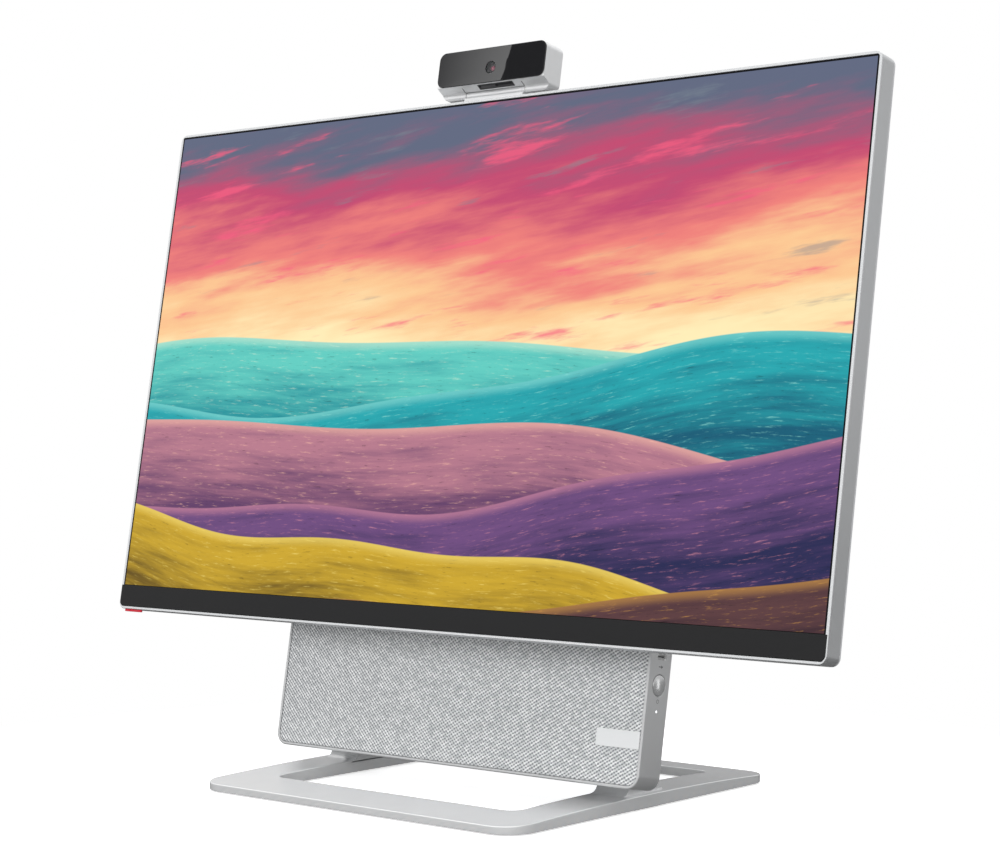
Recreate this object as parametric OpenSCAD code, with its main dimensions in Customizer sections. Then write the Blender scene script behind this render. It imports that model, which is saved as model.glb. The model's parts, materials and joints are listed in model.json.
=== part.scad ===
// All in one computer: a wide display that tilts and turns on a leaning base,
// which stands on an open ring foot and carries the electronics and speakers.
// X runs to the viewer's right, Y to the back and Z up. The origin lies on the desk
// under the middle of the foot. The leaning pieces are drawn upright, with Y = 0 at the
// display's front rim and Z = 0 at the bottom of the base, and then lean back together.

/* [Display] */
// Width across the metal frame
display_w = 614; // [600:1:640]
// Height across the metal frame
display_h = 364; // [350:1:384]
// Depth from the front rim to the flat back
display_t = 16.5; // [15.5:0.5:20]
// Corner radius of the metal frame
display_corner = 5.5; // [4:0.5:7]
// Thickness of the metal frame's wall
rim = 2; // [1.6:0.1:2.6]
// How far the glass lies behind the rim
glass_inset = 0.3; // [0.1:0.1:0.6]
// Thickness of the front glass
glass_t = 2; // [1.2:0.1:2.4]
// Thickness of the panel and its backlight
panel_t = 6; // [4.5:0.5:7]
// Thickness of the sheet steel behind the panel
display_chassis_t = 1.5; // [1:0.1:1.8]
// Thickness of the display's rear cover
rear_cover_t = 2.2; // [1.6:0.1:2.6]
// Height of the dark strip under the picture
chin_h = 15.6; // [12:0.1:22]
// How far the dark strip stands in front of the rim
chin_proud = 0.5; // [0.3:0.1:1]
// Height of the display's lower edge over the bottom of the base
display_lift = 84.6; // [80:0.2:95]
// Width of the red tag under the lower left corner
tag_w = 18; // [14:1:26]
// How far the red tag hangs below the frame
tag_drop = 1.8; // [1.2:0.1:3]

/* [Base] */
// Lean of the display and base from the vertical, in degrees
lean = 10; // [9:0.5:12]
// Width of the base
base_w = 319; // [310:1:335]
// Thickness of the base's slab
base_t = 22.6; // [21:0.2:26]
// Corner radius of the slab
base_corner = 9; // [6:0.5:14]
// Wall of the base's metal shell
base_wall = 2; // [1.6:0.1:2.6]
// Height of the slab over the tilt axis
base_over_axis = 24; // [20:0.5:30]
// Height of the cloth front
cloth_h = 165; // [150:1:180]
// Thickness of the cloth
cloth_t = 0.6; // [0.4:0.1:1]
// Thickness of the perforated board under the cloth
grille_t = 1.8; // [1.2:0.1:2.4]
// Width of the bare badge plate
badge_w = 34; // [20:1:40]
// Height of the bare badge plate
badge_h = 11; // [8:0.5:16]
// Height of the badge plate over the bottom of the base
badge_z = 25; // [20:1:40]
// Width of the box on the back of the slab
box_w = 256; // [248:1:262]
// Depth of the box on the back of the slab
box_d = 22.7; // [21:0.1:26]
// Wall of the box
box_wall = 2.2; // [1.6:0.1:2.6]
// Corner radius of the box
box_corner = 12; // [8:0.5:18]
// Radius of the box's rear edges
box_edge = 4; // [2:0.5:5]
// How far the box stops below the top of the slab
box_step = 20; // [12:1:30]
// Width of a speaker's enclosure
speaker_w = 92; // [70:1:94]
// Height of a speaker's enclosure
speaker_h = 64; // [50:1:80]
// Depth of a speaker's enclosure
speaker_d = 14; // [10:0.5:14]
// Radius of a speaker's cone
cone_r = 24; // [16:0.5:24]

/* [Controls on the right side] */
// Depth of the controls behind the slab's front
control_depth = 11.6; // [10.5:0.1:12.5]
// Radius of the power button
button_r = 6.5; // [5:0.1:7]
// Travel of the power button
button_travel = 0.8; // [0.5:0.1:1.2]
// Height of the power button over the bottom of the base
button_z = 66; // [64:0.5:68]
// Height of the oval data port over the bottom of the base
oval_port_z = 84; // [82:0.5:88]
// Height of the headphone socket over the bottom of the base
jack_z = 101; // [98:0.5:106]
// Radius of the headphone socket's bore
jack_bore_r = 1.8; // [1.78:0.01:1.85]
// Depth of the headphone socket's bore
jack_depth = 14.5; // [12:0.5:15]
// Height of the status light over the bottom of the base
light_z = 49.6; // [44:0.2:52]
// Radius of the status light
light_r = 0.75; // [0.5:0.05:1.2]

/* [Foot] */
// Width of the foot
foot_w = 276; // [270:1:284]
// Depth of the foot
foot_d = 278; // [260:1:300]
// Outer corner radius of the foot
foot_corner = 20; // [12:1:30]
// Thickness of the foot at its front and back edges
foot_edge_t = 5; // [4:0.1:6]
// Thickness of the foot in the middle of its side bars
foot_mid_t = 8.5; // [8:0.1:10]
// Width of a side bar
side_bar = 32; // [30:0.5:36]
// Depth of the front bar
front_bar = 40.5; // [30:0.5:50]
// Depth of the back bar
back_bar = 26.4; // [20:0.2:36]
// Corner radius of the opening
opening_corner = 10; // [6:0.5:20]
// Height of the rubber pads below the foot
pad_proud = 1; // [0.6:0.1:2]
// Distance from the foot's front edge to the front of the slab
body_setback = 94.3; // [88:0.1:100]
// Width of a bracket
bracket_w = 26; // [24:0.5:28]
// Length of a bracket
bracket_l = 42; // [36:0.5:50]
// Radius of the hollow front of a bracket
bracket_fillet = 7; // [5:0.5:9]

/* [Hinge] */
// Sideways place of the turning axis
pivot_x = 66; // [62:1:70]
// Height of the turning axis over the display's middle
pivot_z = 66; // [62:1:70]
// Radius of the pin that the display turns on
pivot_r = 8; // [6:0.1:10]
// Radius of the hub on the display's back
hub_r = 35; // [33:0.5:38]
// Thickness of the hub
hub_t = 3.5; // [3:0.1:5]
// Thickness of the sliding washer
washer_t = 0.7; // [0.5:0.1:1.5]
// Thickness of the tilting plate
tilt_plate_t = 3; // [2.5:0.1:4]
// Radius of the tilt shaft
shaft_r = 4; // [3:0.1:5]
// Wall of the hinge barrels round the tilt shaft
barrel_wall = 1.2; // [1.2:0.1:2]
// Length of one barrel of the tilting plate
barrel_l = 20; // [16:0.5:24]
// Free width between the tilting plate's two barrels
barrel_apart = 28; // [26:0.5:32]
// Width of one ear of the fixed hinge
ear_w = 10; // [8:0.5:12]

/* [Camera] */
// Width of the camera head
camera_w = 94.6; // [86:0.2:100]
// Depth of the camera head
camera_d = 18.4; // [17.4:0.1:20]
// Height of the camera head's top over the display
camera_top = 36.3; // [34:0.1:40]
// Height of the front glass's lower edge over the display
camera_low = 11.5; // [11.4:0.1:12.4]
// Corner radius of the camera head seen from the front
camera_corner = 5.5; // [3:0.5:7]
// Wall of the camera head
camera_wall = 2; // [1.4:0.1:2.4]
// Width of the tongue that stands on the display
tongue_w = 52.4; // [46:0.2:60]
// Radius of the camera's hinge barrel
camera_barrel_r = 3.6; // [3.2:0.1:4]
// Height of the camera's hinge axis over the display
camera_axis_z = 6.6; // [6.4:0.1:6.8]
// Depth of the camera's hinge axis behind the display's front
camera_axis_y = 11; // [10.6:0.1:11.2]
// Radius of the camera's hinge pin
camera_pin_r = 1.2; // [1:0.1:1.4]
// Radius of the lens barrel
lens_r = 4; // [3:0.1:4.4]
// Sideways travel of the shutter
shutter_travel = 13; // [11:0.5:14]

/* [Fits] */
// Radial clearance of a pin or shaft that turns
run_gap = 0.05; // [0.02:0.01:0.1]
// Clearance between pieces that move past each other
move_gap = 0.3; // [0.2:0.05:0.4]
// Clearance round panels that sit in a frame
panel_gap = 0.15; // [0.05:0.05:0.25]

/* [Hidden] */
$fn = 64;
// Flats that make up the foot's long shallow arch
arch_steps = 48;
// Overshoot of a cut past the face that it opens
over = 1;

// Depth of each layer of the leaning pieces, from the front to the back
glass_y0 = glass_inset;
glass_y1 = glass_y0 + glass_t;
panel_y1 = glass_y1 + panel_t;
chassis_back_y = panel_y1 + display_chassis_t;
frame_y1 = display_t - rear_cover_t;
hub_y1 = display_t + hub_t;
washer_y0 = hub_y1 + run_gap;
tilt_plate_y0 = washer_y0 + washer_t + run_gap;
tilt_plate_y1 = tilt_plate_y0 + tilt_plate_t;
barrel_r = shaft_r + barrel_wall;
tilt_y = tilt_plate_y1 + panel_gap + barrel_r;
slab_y0 = tilt_y + barrel_r + move_gap;
slab_y1 = slab_y0 + base_t;
box_y1 = slab_y1 + box_d;

// Heights of the leaning pieces over the bottom of the base
display_z = display_lift + display_h / 2;
tilt_z = display_z + pivot_z;
base_h = tilt_z + base_over_axis;
box_h = base_h - box_step;

// Place of the leaning pieces on the foot
foot_top = pad_proud + foot_mid_t;
rear_gap = 2;
lean_y = -foot_d / 2 + body_setback - slab_y0 * cos(lean);
lean_z = foot_top + rear_gap + box_y1 * sin(lean);

// Foot: the arch of its top, its opening and the seats of its brackets
foot_rise = foot_mid_t - foot_edge_t;
opening_w = foot_w - 2 * side_bar;
opening_d = foot_d - front_bar - back_bar;
opening_y = (front_bar - back_bar) / 2;
seat_depth = 1.5;
seat_z = foot_top - seat_depth;
bracket_x0 = opening_w / 2;
bracket_x1 = bracket_x0 + bracket_w;
bracket_y0 = lean_y + slab_y1 * cos(lean);
bracket_y1 = bracket_y0 + bracket_l;
bracket_lip = 1;
box_end_y = lean_y + box_y1 * cos(lean);

// Rubber pads under the foot
pad_sink = 0.6;
side_pad = [8, 28];
side_pad_inset = 7.5;
round_pad_r = 7;
round_pad_x = foot_w / 2 - side_bar;
front_pad_y = -foot_d / 2 + front_bar / 2;
back_pad_y = foot_d / 2 - back_bar / 2;

// Screws that hold the foot, brackets and chassis together
foot_screw_r = 2;
foot_screw_head_r = 3.8;
foot_screw_head_h = 2;
foot_screw_inset = 4.8;
foot_screw_pitch = 9.4;
foot_screw_y = (bracket_y0 + box_end_y) / 2 + over;
foot_screw_top = lean_z + over;

// Base: the layers between the cloth and the back of the slab
front_sink = 0.3;
cloth_y0 = slab_y0 + front_sink;
cloth_y1 = cloth_y0 + cloth_t;
grille_y1 = cloth_y1 + grille_t;
badge_t = 0.6;
badge_round = 0.8;
front_cover_t = 2.2;
seam = 0.3;
chassis_t = 1.6;
chassis_y1 = slab_y1 - base_wall;
chassis_y0 = chassis_y1 - chassis_t;
chassis_margin = 4;
chassis_inset = base_wall + chassis_margin;
leg_z0 = box_wall + panel_gap;
leg_z1 = 18;
leg_margin = 1.8;
leg_x0 = bracket_x0 + leg_margin;
leg_x1 = box_w / 2 - box_wall - panel_gap;
leg_y1 = box_y1 - box_wall - box_edge;

// Base: the room for the controls, and the speakers beside it
control_room = 17;
control_y = slab_y0 + control_depth;
wall_x = base_w / 2 - base_wall;
board_t = 1.6;
control_board_x0 = wall_x - control_room + over;
control_board_x1 = control_board_x0 + board_t;
control_sink = 0.1;
control_margin = 6;
control_flush_x = base_w / 2 - control_sink;
speaker_x = wall_x - control_room - speaker_w / 2;
speaker_z = 85;
cone_depth = 7;
cone_cap_r = 9;
slot_w = 3;
slot_pitch = 6;

// Power button, oval data port, headphone socket and status light
button_proud = 0.6;
button_flange = 1.2;
button_flange_t = 1.2;
button_stem_r = 2;
button_dome_r = 40;
switch_room = 0.3;
switch_half = 3;
button_flange_x1 = wall_x - move_gap;
button_flange_x0 = button_flange_x1 - button_flange_t;
button_stem_l = 4;
switch_x1 = button_flange_x0 - button_stem_l - button_travel - switch_room;
jack_r = 3.5;
jack_body = 7.4;
jack_neck = 3;
oval_port = [8.4, 2.6];
oval_port_wall = 0.4;
oval_port_depth = 6.5;
oval_tongue = [6.6, 0.7];
oval_tongue_sink = 0.8;

// Electronics in the box
mainboard_lift = 3.7;
mainboard_y0 = slab_y1 + mainboard_lift;
mainboard_y1 = mainboard_y0 + board_t;
mainboard_inset = 6;
mainboard_x0 = -box_w / 2 + mainboard_inset;
mainboard_x1 = 106;
mainboard_z0 = 36;
mainboard_z1 = 290;
post_r = 3;
post_inset = 8;
boss_r = 4;
box_screw_r = 1.5;
box_screw_head_r = 2.8;
box_screw_head_h = 1.4;
box_screw_inset = 9;
fan_w = 90;
fan_t = 12;
fan_x = -48;
fan_z = 222;
fan_skin = 1.2;
fan_room_r = 41;
fan_eye_r = 30;
fan_shaft_r = 1.5;
fan_blades = 17;
fan_blade_r = 39;
fan_hub_r = 15;
fan_blade_t = 1.2;
fan_blade_sweep = 28;
fan_blade_step = 0.4;
fan_float = 0.8;
processor = [36, 1.5, 36];
heatsink_x = 55;
heatsink_w = 88;
heatsink_h = 84;
heatsink_plate = 2.5;
fins = 22;
fin_t = 0.8;
fin_room = 2;
memory_size = [69.6, 1.2, 30];
memory_x = -66;
memory_pitch = 40;
memory_gap = 1;
memory_z = fan_z - fan_w / 2 - memory_gap - memory_size[2] - memory_pitch;
memory_lift = 2.6;
socket_bar = 6;
socket_bar_h = 4.6;
chip_t = 0.9;
memory_chip = [9, chip_t, 11];
memory_chips = 4;
drive_size = [80, 1.2, 22];
drive_x = 58;
drive_z = 130;
drive_lift = 2.4;
drive_chip = [16, chip_t, 14];
drive_chips = 3;

// Sockets on the box's left side, as offsets from the mainboard's lower edge
port_mouth = 0.4;
port_wall = 0.6;
port_depth = 14;
data_port = [5.7, 13.2];
data_port_z = [48, 66, 84, 102];
tongue_t = 1.8;
video_port = [5.6, 15];
video_port_z = 126;
network_port = [13.4, 16];
network_port_z = 150;
inlet_port = [8.4, 13.4];
inlet_port_z = 20;
inlet_wall = 1.2;

// Vents in the box's back and top
vent_w = 2.4;
vent_pitch = 5;
vent_l = 64;
vents = 13;
top_vents = 30;

// Tilt hinge, measured from the turning axis
knuckle_x0 = barrel_apart / 2;
knuckle_x1 = knuckle_x0 + barrel_l;
ear_x0 = knuckle_x1 + move_gap;
ear_x1 = ear_x0 + ear_w;
collar_l = 3;
collar_x1 = ear_x1 + run_gap + collar_l;
hinge_flange_t = 3;
hinge_flange_y0 = chassis_y0 - hinge_flange_t;
hinge_flange_down = 40;
hinge_flange_up = 17;
hinge_window = 1;
hinge_screw_r = 2;
hinge_screw_head_r = 3.6;
hinge_screw_head_h = 2;
hinge_screw_x = 36;
hinge_screw_z = [-33, -14];
tilt_plate_w = 2 * knuckle_x1;
tilt_plate_h = 58;
tilt_plate_corner = 8;
rivet_r = 11;
rivet_clear = 0.35;
rivet_t = barrel_wall + panel_gap - rivet_clear;
pivot_head_r = 13;
pivot_head_t = 3.2;
washer_r = 30;
hub_screw_r = 1.9;
hub_screw_head_r = 3.4;
hub_screw_head_h = 1.8;
hub_screw_circle = 26;
hub_boss_r0 = 18;
hub_boss_lip = 1;
hub_boss_r1 = hub_r + hub_boss_lip;

// Display: the ledge that holds the chassis, ribs and boards
ledge_w = 5;
ledge_t = 1.6;
ledge_y1 = chassis_back_y + ledge_t;
rib_t = 2;
rib_h = 2.6;
rib_inset = 14;
rib_z = [-90, 120];
chin_rim = 0.8;
chin_corner = 3.5;
panel_margin = 3;
panel_side = rim + panel_margin;
frame_screw_r = 1.2;
frame_screw_head_r = 2;
frame_screw_head_h = 1.2;
frame_screw_inset = rim + ledge_w / 2;
frame_screw_fit = 0.1;
driver_w = 220;
driver_h = 38;
driver_z = -136;
driver_lift = 0.8;
driver_chip = [18, chip_t, 12];
driver_chips = 5;
tag_t = 1.6;
tag_margin = 0.3;
tag_x = -display_w / 2 + display_corner + tag_margin;
tag_y = 1.2;

// Camera dock on the display's top edge
dock_w = 26;
dock_t = 5.2;
dock_below = 1.3;
dock_h = rim + dock_below;
dock_slot = [19, 2.6, 1.6];
dock_y = 11;
contacts = 5;
contact_pitch = 3;
contact_size = [1.4, 1.6, 0.2];
tongue_base_t = 10.4;
tongue_seat = 1.2;
tongue_base_h = camera_axis_z - camera_barrel_r + tongue_seat;

// Camera head
camera_glass_t = 1;
camera_front_y = 0.8;
camera_cheek_under = 1.2;
camera_cheek_z = camera_axis_z - camera_pin_r - camera_cheek_under;
camera_edge = 3.5;
camera_slope_gap = 0.6;
camera_slope_rise = 1.9;
camera_floor_t = 1.2;
camera_slope_y = camera_axis_y - camera_barrel_r - camera_slope_gap;
camera_slope_z = camera_axis_z + camera_slope_rise;
camera_floor = camera_low + camera_floor_t;
cheek_gap = 0.2;
lens_over_glass = 10.5;
lens_z = camera_low + lens_over_glass;
lens_y0 = 2.3;
window_lip = 0.5;
window_r = lens_r + window_lip;
camera_board_room = 5;
camera_board_y0 = camera_d - camera_wall - camera_board_room;
camera_board_h = 18;
camera_board_w = 80;
camera_post_r = 2;
shutter_t = 0.7;
shutter_y0 = camera_front_y + move_gap;
shutter_blade = 12;
shutter_tab_w = 13;
shutter_tab_t = 1.6;
shutter_tab_y0 = 2.9;
shutter_slot_spare = 2;
shutter_slot_x = 3.5;
shutter_slot_w = shutter_tab_w + shutter_travel + 2 * shutter_slot_spare;
shutter_shelf = 1.2;
shutter_tip_z = 9.2;

silver = [0.76, 0.77, 0.78];
steel = [0.62, 0.63, 0.65];
dark = [0.12, 0.12, 0.13];
board_green = [0.1, 0.3, 0.2];

// Places

module lean_back() {
  translate([0, lean_y, lean_z]) rotate([-lean, 0, 0]) children();
}

module at_display() {
  lean_back() translate([0, 0, display_z]) children();
}

module at_pivot() {
  lean_back() translate([pivot_x, 0, tilt_z]) children();
}

module at_camera() {
  at_display() translate([0, 0, display_h / 2]) children();
}

module both_sides() {
  children();
  mirror([1, 0, 0]) children();
}

// Shapes

module round_rect(w, h, r) {
  square([w - 2 * r, h], center = true);
  square([w, h - 2 * r], center = true);
  for (x = [-1, 1], y = [-1, 1])
    translate([x * (w / 2 - r), y * (h / 2 - r)]) circle(r);
}

module along_y(y0, y1) {
  translate([0, y1, 0]) rotate([90, 0, 0]) linear_extrude(y1 - y0) children();
}

module along_x(x0, x1) {
  translate([x0, 0, 0]) rotate([90, 0, 90]) linear_extrude(x1 - x0) children();
}

module block(low, high) {
  translate(low) cube(high - low);
}

module rod_x(r, x0, x1) {
  translate([x0, 0, 0]) rotate([0, 90, 0]) cylinder(r = r, h = x1 - x0);
}

module rod_y(r, y0, y1) {
  translate([0, y0, 0]) rotate([-90, 0, 0]) cylinder(r = r, h = y1 - y0);
}

// Pan head screw along Y, its head in front of or behind y, its shank reaching to y_tip
module screw_y(y, y_tip, r, head_r, head_h) {
  head_y = y_tip > y ? y - head_h : y;
  rod_y(head_r, head_y, head_y + head_h);
  rod_y(r, min(y, y_tip), max(y, y_tip));
}

// Row of chips along the middle of a circuit board whose low corner is at the origin
module chip_row(board, chip, count) {
  pitch = board[0] / count;
  for (i = [0 : count - 1])
    translate([(i + 0.5) * pitch - chip[0] / 2, board[1], (board[2] - chip[2]) / 2]) cube(chip);
}

// Foot

module foot_outline() {
  difference() {
    round_rect(foot_w, foot_d, foot_corner);
    translate([0, opening_y]) round_rect(opening_w, opening_d, opening_corner);
  }
}

// Side of the foot: flat below, and above it a shallow parabola, highest in the middle
module foot_side() {
  arch = [
    for (i = [0 : arch_steps]) let (t = 2 * i / arch_steps - 1)
      [t * foot_d / 2, foot_edge_t + foot_rise * (1 - t * t)]
  ];
  polygon(concat([[foot_d / 2, 0], [-foot_d / 2, 0]], arch));
}

module each_foot_screw() {
  both_sides()
    for (i = [0, 1])
      translate([bracket_x0 + foot_screw_inset + i * foot_screw_pitch, foot_screw_y, 0]) children();
}

module foot_screw_holes() {
  each_foot_screw() {
    translate([0, 0, pad_proud - over]) cylinder(r = foot_screw_r + run_gap, h = foot_screw_top);
    translate([0, 0, pad_proud - over])
      cylinder(r = foot_screw_head_r + run_gap, h = over + foot_screw_head_h + seam);
  }
}

module each_pad(grow) {
  both_sides() {
    translate([foot_w / 2 - side_pad_inset, 0])
      square([side_pad[0] + 2 * grow, side_pad[1] + 2 * grow], center = true);
    translate([round_pad_x, front_pad_y]) circle(round_pad_r + grow);
    translate([round_pad_x, back_pad_y]) circle(round_pad_r + grow);
  }
}

module foot_frame() {
  color(silver) difference() {
    intersection() {
      translate([0, 0, pad_proud]) linear_extrude(foot_mid_t) foot_outline();
      translate([0, 0, pad_proud]) along_x(-foot_w / 2, foot_w / 2) foot_side();
    }
    both_sides()
      block([bracket_x0 - over, bracket_y0 - panel_gap, seat_z],
            [bracket_x1 + panel_gap, bracket_y1 + panel_gap, foot_top + over]);
    translate([0, 0, pad_proud - over]) linear_extrude(over + pad_sink) each_pad(panel_gap);
    foot_screw_holes();
  }
}

module bracket() {
  difference() {
    union() {
      difference() {
        block([bracket_x0, bracket_y0, seat_z], [bracket_x1, box_end_y, lean_z]);
        lean_back() block([0, 0, 0], [base_w, 2 * box_y1, base_h]);
      }
      block([bracket_x0, bracket_y0, seat_z], [bracket_x1, bracket_y1, foot_top + bracket_lip]);
    }
    translate([0, bracket_y0, foot_top + bracket_fillet])
      rod_x(bracket_fillet, bracket_x0 - over, bracket_x1 + over);
    foot_screw_holes();
  }
}

module foot_bracket_right() {
  color(silver) bracket();
}

module foot_bracket_left() {
  color(silver) mirror([1, 0, 0]) bracket();
}

module foot_pads() {
  color([0.08, 0.08, 0.08]) linear_extrude(pad_proud + pad_sink) each_pad(0);
}

module foot_screws() {
  color(steel) each_foot_screw() {
    translate([0, 0, pad_proud + seam]) cylinder(r = foot_screw_head_r, h = foot_screw_head_h);
    translate([0, 0, pad_proud + seam])
      cylinder(r = foot_screw_r, h = foot_screw_top - pad_proud - over - seam);
  }
}

// Base

module base_outline(inset) {
  translate([0, base_h / 2])
    round_rect(base_w - 2 * inset, base_h - 2 * inset, base_corner - inset);
}

module box_outline(inset) {
  translate([0, box_h / 2])
    round_rect(box_w - 2 * inset, box_h - 2 * inset, box_corner - inset);
}

module side_hole(z, r) {
  translate([0, control_y, z]) rod_x(r, wall_x - over, wall_x + base_wall + over);
}

module oval_outline(grow) {
  straight = oval_port[0] - oval_port[1];
  square([straight, oval_port[1] + 2 * grow], center = true);
  for (side = [-1, 1]) translate([side * straight / 2, 0]) circle(oval_port[1] / 2 + grow);
}

module base_shell() {
  color(silver) lean_back() difference() {
    along_y(slab_y0, slab_y1) base_outline(0);
    along_y(slab_y0 - over, chassis_y1) base_outline(base_wall);
    along_y(chassis_y1 - over, slab_y1 + over) box_outline(box_wall);
    side_hole(button_z, button_r + move_gap);
    side_hole(jack_z, jack_r + run_gap);
    side_hole(light_z, light_r + run_gap);
    translate([0, control_y, oval_port_z])
      along_x(wall_x - over, wall_x + base_wall + over) oval_outline(oval_port_wall + run_gap);
  }
}

module chassis_posts() {
  for (x = [mainboard_x0 + post_inset, mainboard_x1 - post_inset],
       z = [mainboard_z0 + post_inset, mainboard_z1 - post_inset])
    translate([x, 0, z]) rod_y(post_r, chassis_y0, mainboard_y0);
}

module base_chassis() {
  color(steel) difference() {
    lean_back() union() {
      along_y(chassis_y0, chassis_y1) base_outline(chassis_inset);
      chassis_posts();
      intersection() {
        both_sides() block([leg_x0, chassis_y0, leg_z0], [leg_x1, leg_y1, leg_z1]);
        along_y(chassis_y0, leg_y1) box_outline(box_wall + panel_gap);
      }
    }
    foot_screw_holes();
    lean_back() each_box_screw() rod_y(box_screw_r + run_gap, chassis_y0 - over, chassis_y1 + over);
    at_pivot() each_hinge_screw() rod_y(hinge_screw_r + run_gap, chassis_y0 - over, chassis_y1 + over);
  }
}

module lower_front() {
  intersection() {
    base_outline(base_wall + panel_gap);
    translate([-base_w / 2, 0]) square([base_w, cloth_h]);
  }
}

module speaker_slots() {
  rows = floor((speaker_h - 2 * slot_pitch) / slot_pitch);
  for (i = [0 : rows - 1])
    translate([0, (i - (rows - 1) / 2) * slot_pitch])
      square([speaker_w - 4 * slot_pitch, slot_w], center = true);
}

module speaker_grille() {
  color(dark) lean_back() along_y(cloth_y1, grille_y1) difference() {
    lower_front();
    for (side = [-1, 1]) translate([side * speaker_x, speaker_z]) speaker_slots();
  }
}

module grille_cloth() {
  color([0.72, 0.74, 0.76]) lean_back() along_y(cloth_y0, cloth_y1) lower_front();
}

module badge_plate() {
  badge_x = wall_x - panel_gap - badge_w / 2;
  color([0.86, 0.87, 0.88]) lean_back() translate([badge_x, 0, badge_z + badge_h / 2])
    along_y(cloth_y0 - badge_t, cloth_y0) round_rect(badge_w, badge_h, badge_round);
}

module front_cover() {
  color(silver) lean_back() difference() {
    along_y(cloth_y0, cloth_y0 + front_cover_t) intersection() {
      base_outline(base_wall + panel_gap);
      translate([-base_w / 2, cloth_h + seam]) square([base_w, base_h]);
    }
    translate([pivot_x, 0, tilt_z])
      block([-collar_x1 - hinge_window, slab_y0, -barrel_r - hinge_window],
            [collar_x1 + hinge_window, slab_y1, barrel_r + hinge_window]);
  }
}

module speaker() {
  lean_back() translate([speaker_x, 0, speaker_z]) {
    difference() {
      along_y(grille_y1, grille_y1 + speaker_d) round_rect(speaker_w, speaker_h, badge_round);
      rod_y(cone_r, grille_y1 - over, grille_y1 + cone_depth);
    }
    rod_y(cone_cap_r, grille_y1 + over, grille_y1 + cone_depth + over);
  }
}

module speaker_right() {
  color(dark) speaker();
}

module speaker_left() {
  color(dark) mirror([1, 0, 0]) speaker();
}

// Box on the back of the base

module box_form() {
  reach = 2 * box_edge + over;
  middle_y = (slab_y1 - reach + box_y1) / 2;
  intersection() {
    along_y(slab_y1, box_y1) box_outline(0);
    along_x(-box_w, box_w) translate([middle_y, box_h / 2]) round_rect(box_d + reach, box_h, box_edge);
    translate([0, middle_y, 0]) linear_extrude(box_h) round_rect(box_w, box_d + reach, box_edge);
  }
}

module each_box_screw() {
  inset = box_wall + box_screw_inset;
  both_sides()
    for (z = [leg_z1 + inset, box_h - inset])
      translate([box_w / 2 - inset, 0, z]) children();
}

module port_hole(size, z) {
  half = size[1] / 2 + move_gap;
  translate([-box_w / 2, mainboard_y1, mainboard_z0 + z])
    block([-over, -move_gap, -half], [box_wall + over, size[0] + move_gap, half]);
}

module rear_box() {
  color([0.8, 0.81, 0.82]) difference() {
    lean_back() difference() {
      union() {
        difference() {
          box_form();
          along_y(slab_y1 - over, box_y1 - box_wall) box_outline(box_wall);
        }
        each_box_screw() rod_y(boss_r, slab_y1, box_y1 - box_wall);
      }
      each_box_screw() {
        rod_y(box_screw_r + run_gap, slab_y1 - over, box_y1 + over);
        rod_y(box_screw_head_r + run_gap, box_y1 - box_screw_head_h, box_y1 + over);
      }
      for (i = [0 : vents - 1])
        translate([fan_x, 0, fan_z + (i - (vents - 1) / 2) * vent_pitch])
          block([-vent_l / 2, box_y1 - box_wall - over, -vent_w / 2],
                [vent_l / 2, box_y1 + over, vent_w / 2]);
      for (i = [0 : top_vents - 1])
        translate([(i - (top_vents - 1) / 2) * vent_pitch, 0, 0])
          block([-vent_w / 2, mainboard_y1, box_h - box_wall - over],
                [vent_w / 2, box_y1 - 2 * box_edge, box_h + over]);
      for (z = data_port_z) port_hole(data_port, z);
      port_hole(video_port, video_port_z);
      port_hole(network_port, network_port_z);
      port_hole(inlet_port, inlet_port_z);
    }
    foot_screw_holes();
  }
}

module box_screws() {
  color(steel) lean_back() each_box_screw()
    screw_y(box_y1 - box_screw_head_h, chassis_y0, box_screw_r, box_screw_head_r, box_screw_head_h);
}

module mainboard() {
  color(board_green) lean_back() {
    block([mainboard_x0, mainboard_y0, mainboard_z0], [mainboard_x1, mainboard_y1, mainboard_z1]);
    translate([heatsink_x - processor[0] / 2, mainboard_y1, fan_z - processor[2] / 2]) cube(processor);
    for (i = [0, 1]) translate([memory_x, mainboard_y1, memory_z + i * memory_pitch]) {
      translate([-memory_size[0] / 2, 0, -socket_bar])
        cube([memory_size[0], socket_bar_h, socket_bar]);
      translate([-memory_size[0] / 2, 0, memory_size[2] - socket_bar])
        cube([memory_size[0], memory_lift, socket_bar]);
    }
    translate([drive_x - drive_size[0] / 2 - socket_bar, mainboard_y1, drive_z])
      cube([socket_bar, socket_bar_h, drive_size[2]]);
    translate([drive_x + drive_size[0] / 2 - socket_bar, mainboard_y1, drive_z])
      cube([socket_bar, drive_lift, drive_size[2]]);
  }
}

module heatsink() {
  plate_y0 = mainboard_y1 + processor[1];
  fin_pitch = (heatsink_h - fin_t) / (fins - 1);
  fin_h = box_y1 - box_wall - fin_room - plate_y0;
  color([0.7, 0.45, 0.3]) lean_back()
    translate([heatsink_x - heatsink_w / 2, plate_y0, fan_z - heatsink_h / 2]) {
    cube([heatsink_w, heatsink_plate, heatsink_h]);
    for (i = [0 : fins - 1])
      translate([0, 0, i * fin_pitch]) cube([heatsink_w, fin_h, fin_t]);
  }
}

module fan_housing() {
  color(dark) lean_back() translate([fan_x, mainboard_y1, fan_z]) {
    difference() {
      block([-fan_w / 2, 0, -fan_w / 2], [fan_w / 2, fan_t, fan_w / 2]);
      rod_y(fan_room_r, fan_skin, fan_t - fan_skin);
      rod_y(fan_eye_r, fan_skin, fan_t + over);
      block([0, fan_skin, 0], [fan_w, fan_t - fan_skin, fan_room_r]);
    }
    rod_y(fan_shaft_r, 0, fan_t - fan_skin);
  }
}

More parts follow.
